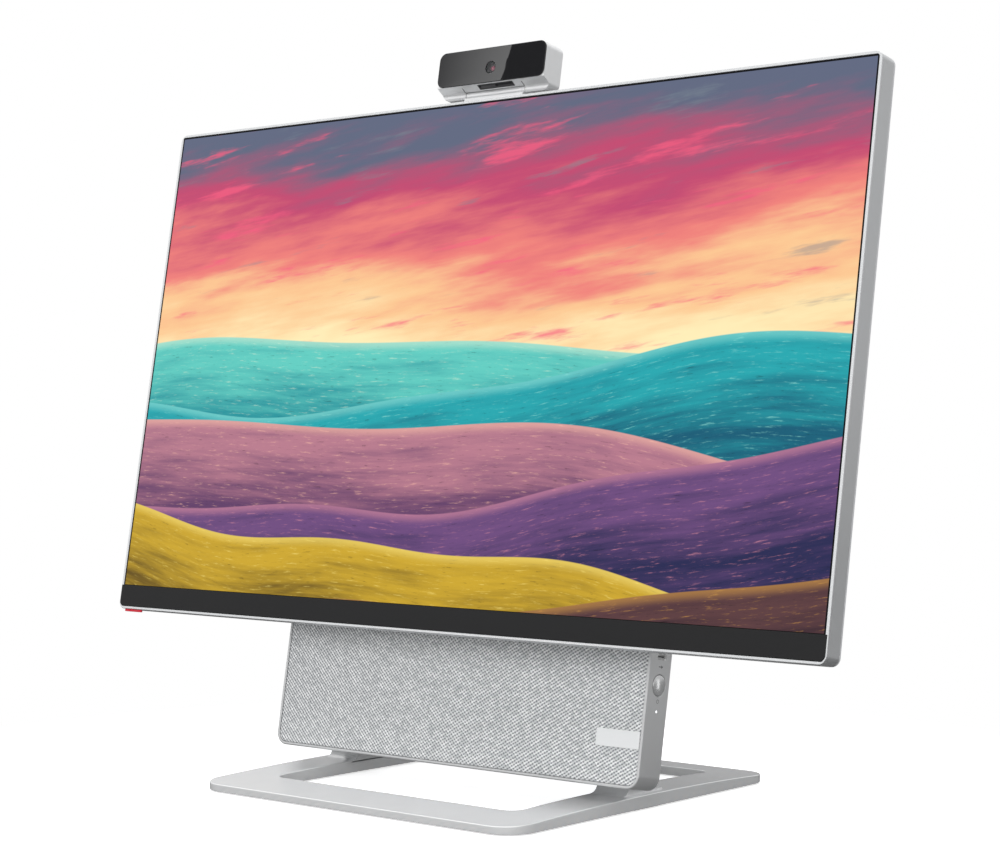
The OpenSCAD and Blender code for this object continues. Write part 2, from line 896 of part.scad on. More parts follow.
module fan_rotor() {
  blade_l = fan_blade_r - fan_hub_r + over;
  rotor_y0 = fan_skin + fan_float;
  rotor_y1 = fan_t - fan_skin - fan_float;
  color([0.2, 0.2, 0.22]) lean_back() translate([fan_x, mainboard_y1, fan_z]) difference() {
    union() {
      rod_y(fan_hub_r, rotor_y0, rotor_y1);
      for (i = [0 : fan_blades - 1])
        rotate([0, i * 360 / fan_blades, 0]) translate([fan_hub_r - over, 0, 0])
          rotate([0, fan_blade_sweep, 0])
            block([0, rotor_y0 + fan_blade_step, -fan_blade_t / 2],
                  [blade_l, rotor_y1 - fan_blade_step, fan_blade_t / 2]);
    }
    rod_y(fan_shaft_r + run_gap, 0, fan_t);
  }
}

module memory_modules() {
  color([0.08, 0.28, 0.16]) lean_back() translate([memory_x, mainboard_y1 + memory_lift, memory_z])
    for (i = [0, 1]) translate([-memory_size[0] / 2, 0, i * memory_pitch]) {
      cube(memory_size);
      chip_row(memory_size, memory_chip, memory_chips);
    }
}

module solid_state_drive() {
  color([0.06, 0.1, 0.2]) lean_back()
    translate([drive_x - drive_size[0] / 2, mainboard_y1 + drive_lift, drive_z]) {
      cube(drive_size);
      chip_row(drive_size, drive_chip, drive_chips);
    }
}

// Metal socket whose mouth faces the box's left side, with a tongue where one is given
module port(size, z, wall, tongue) {
  mouth_x = -box_w / 2 + port_mouth;
  lean_back() translate([mouth_x, mainboard_y1, mainboard_z0 + z]) {
    difference() {
      block([0, 0, -size[1] / 2], [port_depth, size[0], size[1] / 2]);
      block([-over, wall, -size[1] / 2 + wall],
            [port_depth - wall - over, size[0] - wall, size[1] / 2 - wall]);
    }
    if (tongue)
      block([over, (size[0] - tongue_t) / 2, -size[1] / 2 + 3 * wall],
            [port_depth - over, (size[0] + tongue_t) / 2, size[1] / 2 - 3 * wall]);
  }
}

module data_ports() {
  color(steel) for (z = data_port_z) port(data_port, z, port_wall, true);
}

module video_port() {
  color(steel) port(video_port, video_port_z, port_wall, true);
}

module network_port() {
  color(steel) port(network_port, network_port_z, inlet_wall, false);
}

module power_inlet() {
  color(dark) port(inlet_port, inlet_port_z, inlet_wall, false);
}

// Controls

// Oval metal shell with a tongue in its mouth
module oval_port() {
  mouth_x0 = control_flush_x - oval_port_depth;
  color(steel) lean_back() translate([0, control_y, oval_port_z]) {
    difference() {
      along_x(control_board_x1, control_flush_x) oval_outline(oval_port_wall);
      along_x(mouth_x0, control_flush_x + over) oval_outline(0);
    }
    block([mouth_x0 - over, -oval_tongue[0] / 2, -oval_tongue[1] / 2],
          [control_flush_x - oval_tongue_sink, oval_tongue[0] / 2, oval_tongue[1] / 2]);
  }
}

module headphone_socket() {
  neck_x0 = wall_x - jack_neck;
  color(dark) lean_back() translate([0, control_y, jack_z]) difference() {
    union() {
      block([control_board_x1, -jack_body / 2, -jack_body / 2],
            [neck_x0, jack_body / 2, jack_body / 2]);
      rod_x(jack_r, neck_x0, control_flush_x);
    }
    rod_x(jack_bore_r, control_flush_x - jack_depth, control_flush_x + over);
  }
}

module power_button() {
  cap_x1 = base_w / 2 + button_proud;
  color([0.82, 0.83, 0.84]) lean_back() translate([0, control_y, button_z]) {
    intersection() {
      rod_x(button_r, button_flange_x0, cap_x1 + over);
      translate([cap_x1 - button_dome_r, 0, 0]) rotate([0, 0, 180]) sphere(button_dome_r);
    }
    rod_x(button_r + button_flange, button_flange_x0, button_flange_x1);
    rod_x(button_stem_r, button_flange_x0 - button_stem_l, button_flange_x0);
  }
}

module button_board() {
  color(board_green) lean_back() {
    block([control_board_x0, grille_y1 + over, light_z - control_margin],
          [control_board_x1, chassis_y0, jack_z + control_margin]);
    translate([0, control_y, button_z])
      block([control_board_x1, -switch_half, -switch_half], [switch_x1, switch_half, switch_half]);
  }
}

module status_light() {
  color([0.95, 0.97, 1]) lean_back() translate([0, control_y, light_z])
    rod_x(light_r, control_board_x1, control_flush_x);
}

// Hinge

module each_hinge_screw() {
  for (x = [-hinge_screw_x, hinge_screw_x], z = hinge_screw_z) translate([x, 0, z]) children();
}

module hinge_base() {
  color(steel) at_pivot() difference() {
    union() {
      block([-ear_x1, hinge_flange_y0, -hinge_flange_down], [ear_x1, chassis_y0, hinge_flange_up]);
      both_sides() {
        block([ear_x0, tilt_y, -barrel_r], [ear_x1, chassis_y0, barrel_r]);
        translate([0, tilt_y, 0]) rod_x(barrel_r, ear_x0, ear_x1);
      }
    }
    translate([0, tilt_y, 0]) rod_x(shaft_r + run_gap, -ear_x1 - over, ear_x1 + over);
    each_hinge_screw() rod_y(hinge_screw_r + run_gap, hinge_flange_y0 - over, chassis_y0 + over);
  }
}

module hinge_screws() {
  color(steel) at_pivot() each_hinge_screw()
    screw_y(hinge_flange_y0, chassis_y1, hinge_screw_r, hinge_screw_head_r, hinge_screw_head_h);
}

module tilt_shaft() {
  color(steel) at_pivot() translate([0, tilt_y, 0]) rod_x(shaft_r, -collar_x1, collar_x1);
}

module shaft_collars() {
  color(steel) at_pivot() translate([0, tilt_y, 0]) both_sides() difference() {
    rod_x(barrel_r, ear_x1 + run_gap, collar_x1);
    rod_x(shaft_r + run_gap, ear_x1, collar_x1 + over);
  }
}

module tilt_plate() {
  color(steel) at_pivot() difference() {
    union() {
      along_y(tilt_plate_y0, tilt_plate_y1) round_rect(tilt_plate_w, tilt_plate_h, tilt_plate_corner);
      both_sides() {
        block([knuckle_x0, tilt_plate_y0, -barrel_r], [knuckle_x1, tilt_y, barrel_r]);
        translate([0, tilt_y, 0]) rod_x(barrel_r, knuckle_x0, knuckle_x1);
      }
    }
    translate([0, tilt_y, 0]) rod_x(shaft_r + run_gap, -knuckle_x1 - over, knuckle_x1 + over);
    rod_y(pivot_r + run_gap, tilt_plate_y0 - over, tilt_plate_y1 + over);
  }
}

module pivot_pin() {
  head_y1 = display_t - move_gap;
  color(steel) at_pivot() {
    rod_y(pivot_head_r, head_y1 - pivot_head_t, head_y1);
    rod_y(pivot_r, head_y1, tilt_plate_y1);
    rod_y(rivet_r, tilt_plate_y1, tilt_plate_y1 + rivet_t);
  }
}

module pivot_washer() {
  color([0.9, 0.9, 0.86]) at_pivot() difference() {
    rod_y(washer_r, washer_y0, washer_y0 + washer_t);
    rod_y(pivot_r + run_gap, washer_y0 - over, washer_y0 + washer_t + over);
  }
}

module each_hub_screw() {
  for (i = [0 : 3]) rotate([0, 45 + i * 90, 0]) translate([hub_screw_circle, 0, 0]) children();
}

module pivot_hub() {
  color(silver) at_pivot() difference() {
    rod_y(hub_r, display_t, hub_y1);
    rod_y(pivot_r + run_gap, display_t - over, hub_y1 + over);
    each_hub_screw() {
      rod_y(hub_screw_r + run_gap, display_t - over, hub_y1 + over);
      rod_y(hub_screw_head_r + run_gap, hub_y1 - hub_screw_head_h, hub_y1 + over);
    }
  }
}

module hub_screws() {
  color(steel) at_pivot() each_hub_screw()
    screw_y(hub_y1 - hub_screw_head_h, chassis_back_y, hub_screw_r, hub_screw_head_r, hub_screw_head_h);
}

// Display

module display_outline(inset) {
  round_rect(display_w - 2 * inset, display_h - 2 * inset, display_corner - inset);
}

module each_frame_screw() {
  x_far = display_w / 2 - frame_screw_inset;
  z_far = display_h / 2 - frame_screw_inset;
  for (x = [-x_far, -x_far / 3, x_far / 3, x_far], z = [-z_far, z_far]) translate([x, 0, z]) children();
  for (x = [-x_far, x_far]) translate([x, 0, 0]) children();
}

module dock_pocket() {
  translate([0, dock_y, display_h / 2])
    block([-dock_w / 2 - panel_gap, -dock_t / 2 - panel_gap, -dock_h - panel_gap],
          [dock_w / 2 + panel_gap, dock_t / 2 + panel_gap, over]);
}

module display_frame() {
  color(silver) at_display() difference() {
    along_y(0, frame_y1) display_outline(0);
    along_y(-over, chassis_back_y) square([display_w - 2 * rim, display_h - 2 * rim], center = true);
    along_y(chassis_back_y - over, ledge_y1 + over)
      square([display_w - 2 * rim - 2 * ledge_w, display_h - 2 * rim - 2 * ledge_w], center = true);
    along_y(ledge_y1, frame_y1 + over) square([display_w - 2 * rim, display_h - 2 * rim], center = true);
    each_frame_screw() rod_y(frame_screw_r + frame_screw_fit, chassis_back_y - over, ledge_y1 + over);
    dock_pocket();
  }
}

module display_glass() {
  glass_z0 = -display_h / 2 + rim + chin_h;
  color([0.05, 0.05, 0.06]) at_display()
    block([-display_w / 2 + rim + panel_gap, glass_y0, glass_z0 + panel_gap],
          [display_w / 2 - rim - panel_gap, glass_y1, display_h / 2 - rim - panel_gap]);
}

module chin_strip() {
  chin_z0 = -display_h / 2 + rim + panel_gap;
  chin_z1 = -display_h / 2 + rim + chin_h;
  front_w = display_w - 2 * chin_rim - 2 * panel_gap;
  half_w = front_w / 2 - chin_corner;
  color([0.13, 0.13, 0.14]) at_display() {
    block([-half_w, -chin_proud, chin_z0], [half_w, glass_y1, chin_z1]);
    along_y(-chin_proud, 0) intersection() {
      translate([0, chin_z1]) round_rect(front_w, 2 * (chin_z1 - chin_z0), chin_corner);
      translate([-front_w / 2, chin_z0]) square([front_w, chin_z1 - chin_z0]);
    }
  }
}

module panel_module() {
  color([0.2, 0.2, 0.22]) at_display()
    block([-display_w / 2 + panel_side, glass_y1, -display_h / 2 + rim + chin_h],
          [display_w / 2 - panel_side, panel_y1, display_h / 2 - panel_side]);
}

module display_chassis() {
  side = rim + panel_gap;
  post_x = driver_w / 2 - post_inset;
  post_z = driver_h / 2 - post_inset;
  color(steel) at_display() difference() {
    union() {
      block([-display_w / 2 + side, panel_y1, -display_h / 2 + side],
            [display_w / 2 - side, chassis_back_y, display_h / 2 - side]);
      for (z = rib_z)
        block([-display_w / 2 + rib_inset, panel_y1, z],
              [display_w / 2 - rib_inset, chassis_back_y + rib_h, z + rib_t]);
      for (x = [-post_x, post_x], z = [driver_z - post_z, driver_z + post_z])
        translate([x, 0, z]) rod_y(post_r, panel_y1, chassis_back_y + driver_lift);
      translate([pivot_x, 0, pivot_z]) rod_y(hub_boss_r1, panel_y1, display_t);
    }
    translate([pivot_x, 0, pivot_z]) {
      rod_y(hub_boss_r0, chassis_back_y, display_t + over);
      each_hub_screw() rod_y(hub_screw_r + run_gap, chassis_back_y, display_t + over);
    }
    each_frame_screw() rod_y(frame_screw_r + frame_screw_fit, panel_y1, chassis_back_y + over);
    dock_pocket();
  }
}

module frame_screws() {
  color(steel) at_display() each_frame_screw()
    screw_y(ledge_y1, panel_y1 + seam, frame_screw_r, frame_screw_head_r, frame_screw_head_h);
}

module driver_board() {
  size = [driver_w, board_t, driver_h];
  color(board_green) at_display()
    translate([-driver_w / 2, chassis_back_y + driver_lift, driver_z - driver_h / 2]) {
      cube(size);
      chip_row(size, driver_chip, driver_chips);
    }
}

module display_rear_cover() {
  color([0.8, 0.81, 0.82]) at_display() difference() {
    along_y(frame_y1, display_t) display_outline(panel_gap);
    translate([pivot_x, 0, pivot_z]) rod_y(hub_boss_r1 + panel_gap, frame_y1 - over, display_t + over);
  }
}

module red_tag() {
  color([0.75, 0.05, 0.08]) at_display()
    block([tag_x, tag_y, -display_h / 2 - tag_drop], [tag_x + tag_w, tag_y + tag_t, -display_h / 2]);
}

// Camera

module camera_dock() {
  color(dark) at_camera() translate([0, dock_y, 0]) difference() {
    block([-dock_w / 2, -dock_t / 2, -dock_h], [dock_w / 2, dock_t / 2, 0]);
    block([-dock_slot[0] / 2, -dock_slot[1] / 2, -dock_slot[2]],
          [dock_slot[0] / 2, dock_slot[1] / 2, over]);
  }
}

module dock_contacts() {
  color([0.85, 0.7, 0.3]) at_camera()
    for (i = [0 : contacts - 1])
      translate([(i - (contacts - 1) / 2) * contact_pitch, dock_y, -dock_slot[2]])
        translate([-contact_size[0] / 2, -contact_size[1] / 2, 0]) cube(contact_size);
}

module camera_tongue() {
  plug = [dock_slot[0] / 2 - move_gap, dock_slot[1] / 2 - move_gap];
  half_w = tongue_w / 2;
  color(silver) at_camera() difference() {
    union() {
      translate([0, camera_axis_y, camera_axis_z]) rod_x(camera_barrel_r, -half_w, half_w);
      block([-half_w, camera_axis_y - tongue_base_t / 2, 0],
            [half_w, camera_axis_y + tongue_base_t / 2, tongue_base_h]);
      block([-plug[0], dock_y - plug[1], -dock_slot[2] + move_gap], [plug[0], dock_y + plug[1], over]);
    }
    translate([0, camera_axis_y, camera_axis_z])
      rod_x(camera_pin_r + run_gap, -half_w - over, half_w + over);
  }
}

module camera_hinge_pin() {
  reach = camera_w / 2 - camera_wall - run_gap;
  color(steel) at_camera() translate([0, camera_axis_y, camera_axis_z]) rod_x(camera_pin_r, -reach, reach);
}

module camera_side() {
  intersection() {
    union() {
      polygon([
        [camera_front_y, camera_low], [camera_front_y, camera_top], [camera_d, camera_top],
        [camera_d, camera_cheek_z], [camera_axis_y - camera_barrel_r / 2, camera_cheek_z],
        [camera_slope_y, camera_slope_z]
      ]);
      translate([camera_axis_y, camera_axis_z]) circle(camera_barrel_r);
    }
    translate([camera_d / 2 - camera_edge, (camera_top + camera_cheek_z) / 2])
      round_rect(camera_d + 2 * camera_edge, camera_top - camera_cheek_z, camera_edge);
  }
}

module camera_shell() {
  cheek_x0 = tongue_w / 2 + cheek_gap;
  middle_z = (camera_top + camera_cheek_z) / 2;
  pin_reach = camera_w / 2 - camera_wall;
  post_x = camera_board_w / 2 - post_inset;
  color([0.83, 0.84, 0.85]) at_camera() difference() {
    union() {
      difference() {
        intersection() {
          along_x(-camera_w / 2, camera_w / 2) camera_side();
          along_y(0, camera_d) translate([0, middle_z])
            round_rect(camera_w, camera_top - camera_cheek_z, camera_corner);
        }
        block([-camera_w / 2 + camera_wall, 0, camera_floor],
              [camera_w / 2 - camera_wall, camera_d - camera_wall, camera_top - camera_wall]);
      }
      for (x = [-post_x, post_x])
        translate([x, 0, (camera_low + camera_top) / 2])
          rod_y(camera_post_r, camera_board_y0 + board_t, camera_d - over);
    }
    block([-cheek_x0, camera_slope_y, 0],
          [cheek_x0, camera_d + over, camera_axis_z + camera_barrel_r + cheek_gap]);
    translate([0, camera_axis_y, camera_axis_z]) rod_x(camera_pin_r + run_gap, -pin_reach, pin_reach);
    translate([shutter_slot_x, 0, 0])
      block([-shutter_slot_w / 2, shutter_tab_y0 - move_gap, camera_axis_z],
            [shutter_slot_w / 2, shutter_tab_y0 + shutter_tab_t + move_gap, camera_floor + over]);
  }
}

module camera_glass() {
  color([0.04, 0.04, 0.05]) at_camera() difference() {
    along_y(camera_front_y - camera_glass_t, camera_front_y)
      translate([0, (camera_low + camera_top) / 2])
        round_rect(camera_w, camera_top - camera_low, camera_corner);
    translate([0, 0, lens_z]) rod_y(window_r + run_gap, -over, camera_front_y + over);
  }
}

module camera_window() {
  color([0.3, 0.3, 0.35, 0.5]) at_camera() translate([0, 0, lens_z])
    rod_y(window_r, camera_front_y - camera_glass_t + panel_gap, camera_front_y);
}

module camera_lens() {
  throat = 2.2;
  color([0.1, 0.1, 0.12]) at_camera() translate([0, 0, lens_z]) difference() {
    rod_y(lens_r, lens_y0, camera_board_y0);
    rod_y(lens_r - throat / 2, lens_y0 - over, lens_y0 + throat / 2);
    translate([0, lens_y0 + throat / 2 - over, 0]) sphere(throat);
  }
}

module camera_board() {
  middle_z = (camera_floor + camera_top - camera_wall) / 2;
  color(board_green) at_camera()
    block([-camera_board_w / 2, camera_board_y0, middle_z - camera_board_h / 2],
          [camera_board_w / 2, camera_board_y0 + board_t, middle_z + camera_board_h / 2]);
}

module shutter_slider() {
  blade_x = -shutter_travel;
  tab_x0 = shutter_slot_x - shutter_travel / 2 - shutter_tab_w / 2;
  blade_z0 = lens_z - shutter_blade / 2;
  shelf_z0 = camera_floor + move_gap;
  tab_y1 = shutter_tab_y0 + shutter_tab_t;
  color([0.1, 0.1, 0.11]) at_camera() {
    block([blade_x - shutter_blade / 2, shutter_y0, blade_z0],
          [blade_x + shutter_blade / 2, shutter_y0 + shutter_t, blade_z0 + shutter_blade]);
    block([tab_x0, shutter_y0, shelf_z0],
          [blade_x + shutter_blade / 2, shutter_y0 + shutter_t, blade_z0 + over]);
    block([tab_x0, shutter_y0, shelf_z0],
          [tab_x0 + shutter_tab_w, tab_y1, shelf_z0 + shutter_shelf]);
    block([tab_x0, shutter_tab_y0, shutter_tip_z], [tab_x0 + shutter_tab_w, tab_y1, shelf_z0 + over]);
  }
}

foot_frame();
foot_bracket_left();
foot_bracket_right();
foot_pads();
foot_screws();
base_shell();
base_chassis();
speaker_grille();
grille_cloth();
badge_plate();
front_cover();
speaker_left();
speaker_right();
rear_box();
box_screws();
mainboard();
heatsink();
fan_housing();
fan_rotor();
memory_modules();
solid_state_drive();
data_ports();
video_port();
network_port();
power_inlet();
oval_port();
headphone_socket();
power_button();
button_board();
status_light();
hinge_base();
hinge_screws();
tilt_shaft();
shaft_collars();
tilt_plate();
pivot_pin();
pivot_washer();
pivot_hub();
hub_screws();
display_frame();
display_glass();
chin_strip();
panel_module();
display_chassis();
frame_screws();
driver_board();
display_rear_cover();
red_tag();
camera_dock();
dock_contacts();
camera_tongue();
camera_hinge_pin();
camera_shell();
camera_glass();
camera_window();
camera_lens();
camera_board();
shutter_slider();
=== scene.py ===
"""All in one computer, dressed for its photograph.

The screen, the base and the camera lean back together. Their shapes are worked out in millimetres in
an upright frame of their own, with x to the right, y back from the screen's rim and z up from the
base's lower edge, and place() leans them back. The foot's shapes go through stand(), which only
turns millimetres into metres.
"""
import json
import math

import bmesh
import bpy
import numpy as np
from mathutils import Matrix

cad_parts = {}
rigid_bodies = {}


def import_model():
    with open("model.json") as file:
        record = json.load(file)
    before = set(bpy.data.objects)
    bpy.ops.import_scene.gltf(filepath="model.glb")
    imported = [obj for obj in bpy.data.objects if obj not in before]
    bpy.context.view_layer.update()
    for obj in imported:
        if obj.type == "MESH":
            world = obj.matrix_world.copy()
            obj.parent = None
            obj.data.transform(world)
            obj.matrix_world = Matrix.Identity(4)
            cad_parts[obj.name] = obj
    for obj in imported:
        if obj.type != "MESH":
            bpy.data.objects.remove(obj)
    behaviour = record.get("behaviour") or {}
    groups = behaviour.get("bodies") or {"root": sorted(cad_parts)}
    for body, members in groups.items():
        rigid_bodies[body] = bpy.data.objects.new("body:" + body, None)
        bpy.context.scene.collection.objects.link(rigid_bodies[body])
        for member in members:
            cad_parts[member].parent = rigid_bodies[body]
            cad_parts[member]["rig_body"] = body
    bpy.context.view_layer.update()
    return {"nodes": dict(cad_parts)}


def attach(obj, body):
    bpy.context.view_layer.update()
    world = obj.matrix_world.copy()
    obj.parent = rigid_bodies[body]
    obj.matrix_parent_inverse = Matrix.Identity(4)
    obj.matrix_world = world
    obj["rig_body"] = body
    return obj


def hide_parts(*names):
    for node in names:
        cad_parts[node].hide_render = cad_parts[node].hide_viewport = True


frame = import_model()
scene = bpy.context.scene
scene.view_settings.view_transform = "Standard"

# Camera of the photograph, from a fit of the screen's, base's and foot's corners
eye = bpy.data.objects.new("photo_eye", bpy.data.cameras.new("photo_eye"))
eye.data.lens = 80.116
eye.data.sensor_width = 36.0
eye.location = (0.979764, -1.152213, 0.246168)
eye.rotation_euler = [math.radians(a) for a in (89.78, -0.02, 40.06)]
scene.collection.objects.link(eye)
scene.camera = eye

# The leaning pieces' frame
LEAN = math.radians(10)
LEAN_Y, LEAN_Z = -78.8236, 25.3832

# Screen, in the leaning frame
SCREEN_W, SCREEN_H, SCREEN_R = 614.0, 364.0, 5.5
SCREEN_Z = 266.6
RIM = 2.0
FRAME_BACK, COVER_BACK = 14.3, 16.5
GLASS_FRONT, GLASS_BACK = 0.3, 2.3
CHIN_H, CHIN_FRONT, CHIN_LAP, CHIN_R = 15.6, -0.5, 1.2, 3.5
PIVOT_X, PIVOT_Z = 66.0, 332.6
HUB_HOLE = 36.15

# Base, in the leaning frame
BASE_W, BASE_H, BASE_R = 319.0, 356.6, 9.0
SLAB_FRONT, SLAB_BACK = 34.65, 57.25
BASE_WALL = 2.0
CLOTH_FRONT, CLOTH_TOP = 34.95, 165.0
CONTROL_Y = 46.25
LIGHT_Z, BUTTON_Z, PORT_Z, SOCKET_Z = 49.6, 66.0, 84.0, 101.0
LIGHT_R, BUTTON_R, SOCKET_R = 0.75, 6.5, 3.5
PORT_W, PORT_H, PORT_WALL = 8.4, 2.6, 0.4

# Foot, upright
FOOT_W, FOOT_D, FOOT_R = 276.0, 278.0, 20.0
OPEN_W, OPEN_D, OPEN_R, OPEN_Y = 212.0, 211.1, 10.0, 7.05
FOOT_LOW, FOOT_EDGE, FOOT_RISE = 1.0, 5.0, 3.5

# Camera, heights over the screen's top edge
CAM_Z = SCREEN_Z + SCREEN_H / 2
CAM_W, CAM_LOW, CAM_TOP, CAM_R = 94.6, 11.5, 36.3, 5.5
CAM_FRONT, CAM_FACE = -0.2, 0.8
LENS_Z, LENS_HOLE = CAM_Z + CAM_LOW + 10.5, 4.55


def place(points):
    """Leaning millimetres to metres: turned by LEAN about the x axis, then shifted onto the foot."""
    x, y, z = np.moveaxis(np.asarray(points, float), -1, 0)
    c, s = math.cos(LEAN), math.sin(LEAN)
    return np.stack([x, LEAN_Y + y * c + z * s, LEAN_Z - y * s + z * c], -1) / 1000


def unplace(points):
    """Metres back to leaning millimetres, the inverse of place()."""
    x, y, z = np.moveaxis(np.asarray(points, float) * 1000, -1, 0)
    c, s = math.cos(LEAN), math.sin(LEAN)
    y, z = y - LEAN_Y, z - LEAN_Z
    return np.stack([x, y * c - z * s, y * s + z * c], -1)


def stand(points):
    """Upright millimetres to metres."""
    return np.asarray(points, float) / 1000


# Shapes


def round_loop(w, h, r, cx=0.0, cz=0.0, corner=8, edge=1):
    """Rounded rectangle, anticlockwise from its lower right corner: a quarter circle of radius r at
    each corner, and each straight edge cut into equal parts."""
    r = max(r, 0.02)
    turn = np.linspace(0, math.pi / 2, corner + 1)
    arcs = []
    for k, (sx, sz) in enumerate([(1, -1), (1, 1), (-1, 1), (-1, -1)]):
        a = turn + (k - 1) * math.pi / 2
        mid = np.array([cx + sx * (w / 2 - r), cz + sz * (h / 2 - r)])
        arcs.append(mid + r * np.stack([np.cos(a), np.sin(a)], -1))
    part = np.linspace(0, 1, edge + 1)[1:-1, None]
    runs = [arc[-1] + part * (arcs[(k + 1) % 4][0] - arc[-1]) for k, arc in enumerate(arcs)]
    return np.concatenate([p for pair in zip(arcs, runs) for p in pair])


def rim_rings(w, h, r, profile, cx=0.0, cz=0.0, turn=1.0, **loop):
    """Rings of a rounded rectangle grown by each profile point's first number, at the depth that
    its second number gives. The corners' radius grows turn times as much."""
    rows = []
    for grow, depth in profile:
        flat = round_loop(w + 2 * grow, h + 2 * grow, r + turn * grow, cx, cz, **loop)
        rows.append(np.stack([flat[:, 0], np.full(len(flat), depth), flat[:, 1]], -1))
    return np.stack(rows)


def lathe_x(profile, cy, cz, steps=64):
    """Profile of (x, radius) turned about the line along x through (cy, cz)."""
    x, r = np.asarray(profile, float).T
    a = np.arange(steps) * 2 * math.pi / steps
    return np.stack(
        [
            np.broadcast_to(x[:, None], (len(x), steps)),
            cy + r[:, None] * np.cos(a),
            cz + r[:, None] * np.sin(a),
        ],
        -1,
    )


def lathe_y(profile, cx, cz, steps=64):
    """Profile of (y, radius) turned about the line along y through (cx, cz)."""
    return lathe_x(profile, cz, cx, steps)[..., [2, 0, 1]]


def bevelled(depth_front, depth_back, bevel, steps=3):
    """Profile of a slab's side: a quarter circle of radius bevel at its front and back edges."""
    a = np.linspace(0, math.pi / 2, steps + 1)
    front = np.stack([bevel * (np.sin(a) - 1), depth_front + bevel * (1 - np.cos(a))], -1)
    back = np.stack([bevel * (np.cos(a) - 1), depth_back - bevel * (1 - np.sin(a))], -1)
    return np.concatenate([front, back])


class Skin:
    """Patches that make up one piece."""

    def __init__(self):
        self.points, self.faces, self.count = [], [], 0

    def add(self, points, faces):
        points = np.asarray(points, float).reshape(-1, 3)
        self.faces += [[i + self.count for i in face] for face in faces]
        self.points.append(points)
        self.count += len(points)
        return self

    def grid(self, p, close_u=False, close_v=False, leave=()):
        """Quads between neighbouring points of p[u, v], without those listed in leave."""
        index = np.arange(p.shape[0] * p.shape[1]).reshape(p.shape[:2])
        index = np.concatenate([index, index[:1]]) if close_u else index
        index = np.concatenate([index, index[:, :1]], 1) if close_v else index
        quads = np.stack([index[:-1, :-1], index[:-1, 1:], index[1:, 1:], index[1:, :-1]], -1)
        keep = np.ones(quads.shape[:2], bool)
        for u, v in leave:
            keep[u, v] = False
        return self.add(p, quads[keep].tolist())

    def cap(self, loop):
        return self.add(loop, [list(range(len(loop)))])

    def slab(self, p):
        """A closed slab: rings p[u, v] with a flat face at each end."""
        return self.grid(p, close_v=True).cap(p[0]).cap(p[-1])


def piece(name, skin, material, body, slot, *nodes, sharp=38, outward=True, weighted=True):
    """One object from a skin in metres: doubles merged, faces turned outwards, edges over the sharp
    angle kept crisp, and flat faces kept flat beside their bevels."""
    mesh = bpy.data.meshes.new(name)
    mesh.from_pydata(np.concatenate(skin.points).tolist(), [], skin.faces)
    work = bmesh.new()
    work.from_mesh(mesh)
    bmesh.ops.remove_doubles(work, verts=work.verts, dist=2e-6)
    if outward:
        bmesh.ops.recalc_face_normals(work, faces=work.faces)
    return dress(name, mesh, work, material, body, nodes, sharp, weighted)


def dress(name, mesh, work, material, body, nodes, sharp, weighted):
    """Writes a worked mesh into an object that rides on its body."""
    work.to_mesh(mesh)
    work.free()
    mesh.shade_smooth()
    mesh.set_sharp_from_angle(angle=math.radians(sharp))
    obj = bpy.data.objects.new(name, mesh)
    scene.collection.objects.link(obj)
    mesh.materials.append(material)
    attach(obj, body)
    if nodes:
        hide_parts(*nodes)
    if weighted:
        steady = obj.modifiers.new("steady_normals", "WEIGHTED_NORMAL")
        steady.keep_sharp = True
    return obj


def eased_copy(node, material, bevel, segments=2):
    """A node's own shape with its doubles merged, its flat faces joined and its edges eased by a
    small bevel."""
    sharp = 30
    source = frame["nodes"][node]
    mesh = source.data.copy()
    mesh.materials.clear()
    work = bmesh.new()
    work.from_mesh(mesh)
    bmesh.ops.remove_doubles(work, verts=work.verts, dist=2e-6)
    bmesh.ops.dissolve_limit(work, angle_limit=math.radians(0.4), verts=work.verts, edges=work.edges)
    made = dress(node + "_eased", mesh, work, material, source["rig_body"], [node],
                 sharp, False)
    ease = made.modifiers.new("eased_edges", "BEVEL")
    ease.width = bevel / 1000
    ease.segments = segments
    ease.limit_method = "ANGLE"
    ease.angle_limit = math.radians(sharp)
    ease.use_clamp_overlap = True
    ease.harden_normals = True
    return made


def lay_flat(obj, layer, low, high):
    """UV map from the leaning x and z of each corner: 0 at low, 1 at high."""
    mesh = obj.data
    co = np.empty(len(mesh.vertices) * 3, np.float32)
    mesh.vertices.foreach_get("co", co)
    flat = unplace(co.reshape(-1, 3))[:, [0, 2]]
    uv = (flat - np.array(low)) / (np.array(high) - np.array(low))
    corner = np.empty(len(mesh.loops), np.int32)
    mesh.loops.foreach_get("vertex_index", corner)
    made = mesh.uv_layers.new(name=layer)
    made.data.foreach_set("uv", uv[corner].astype(np.float32).ravel())


# Materials


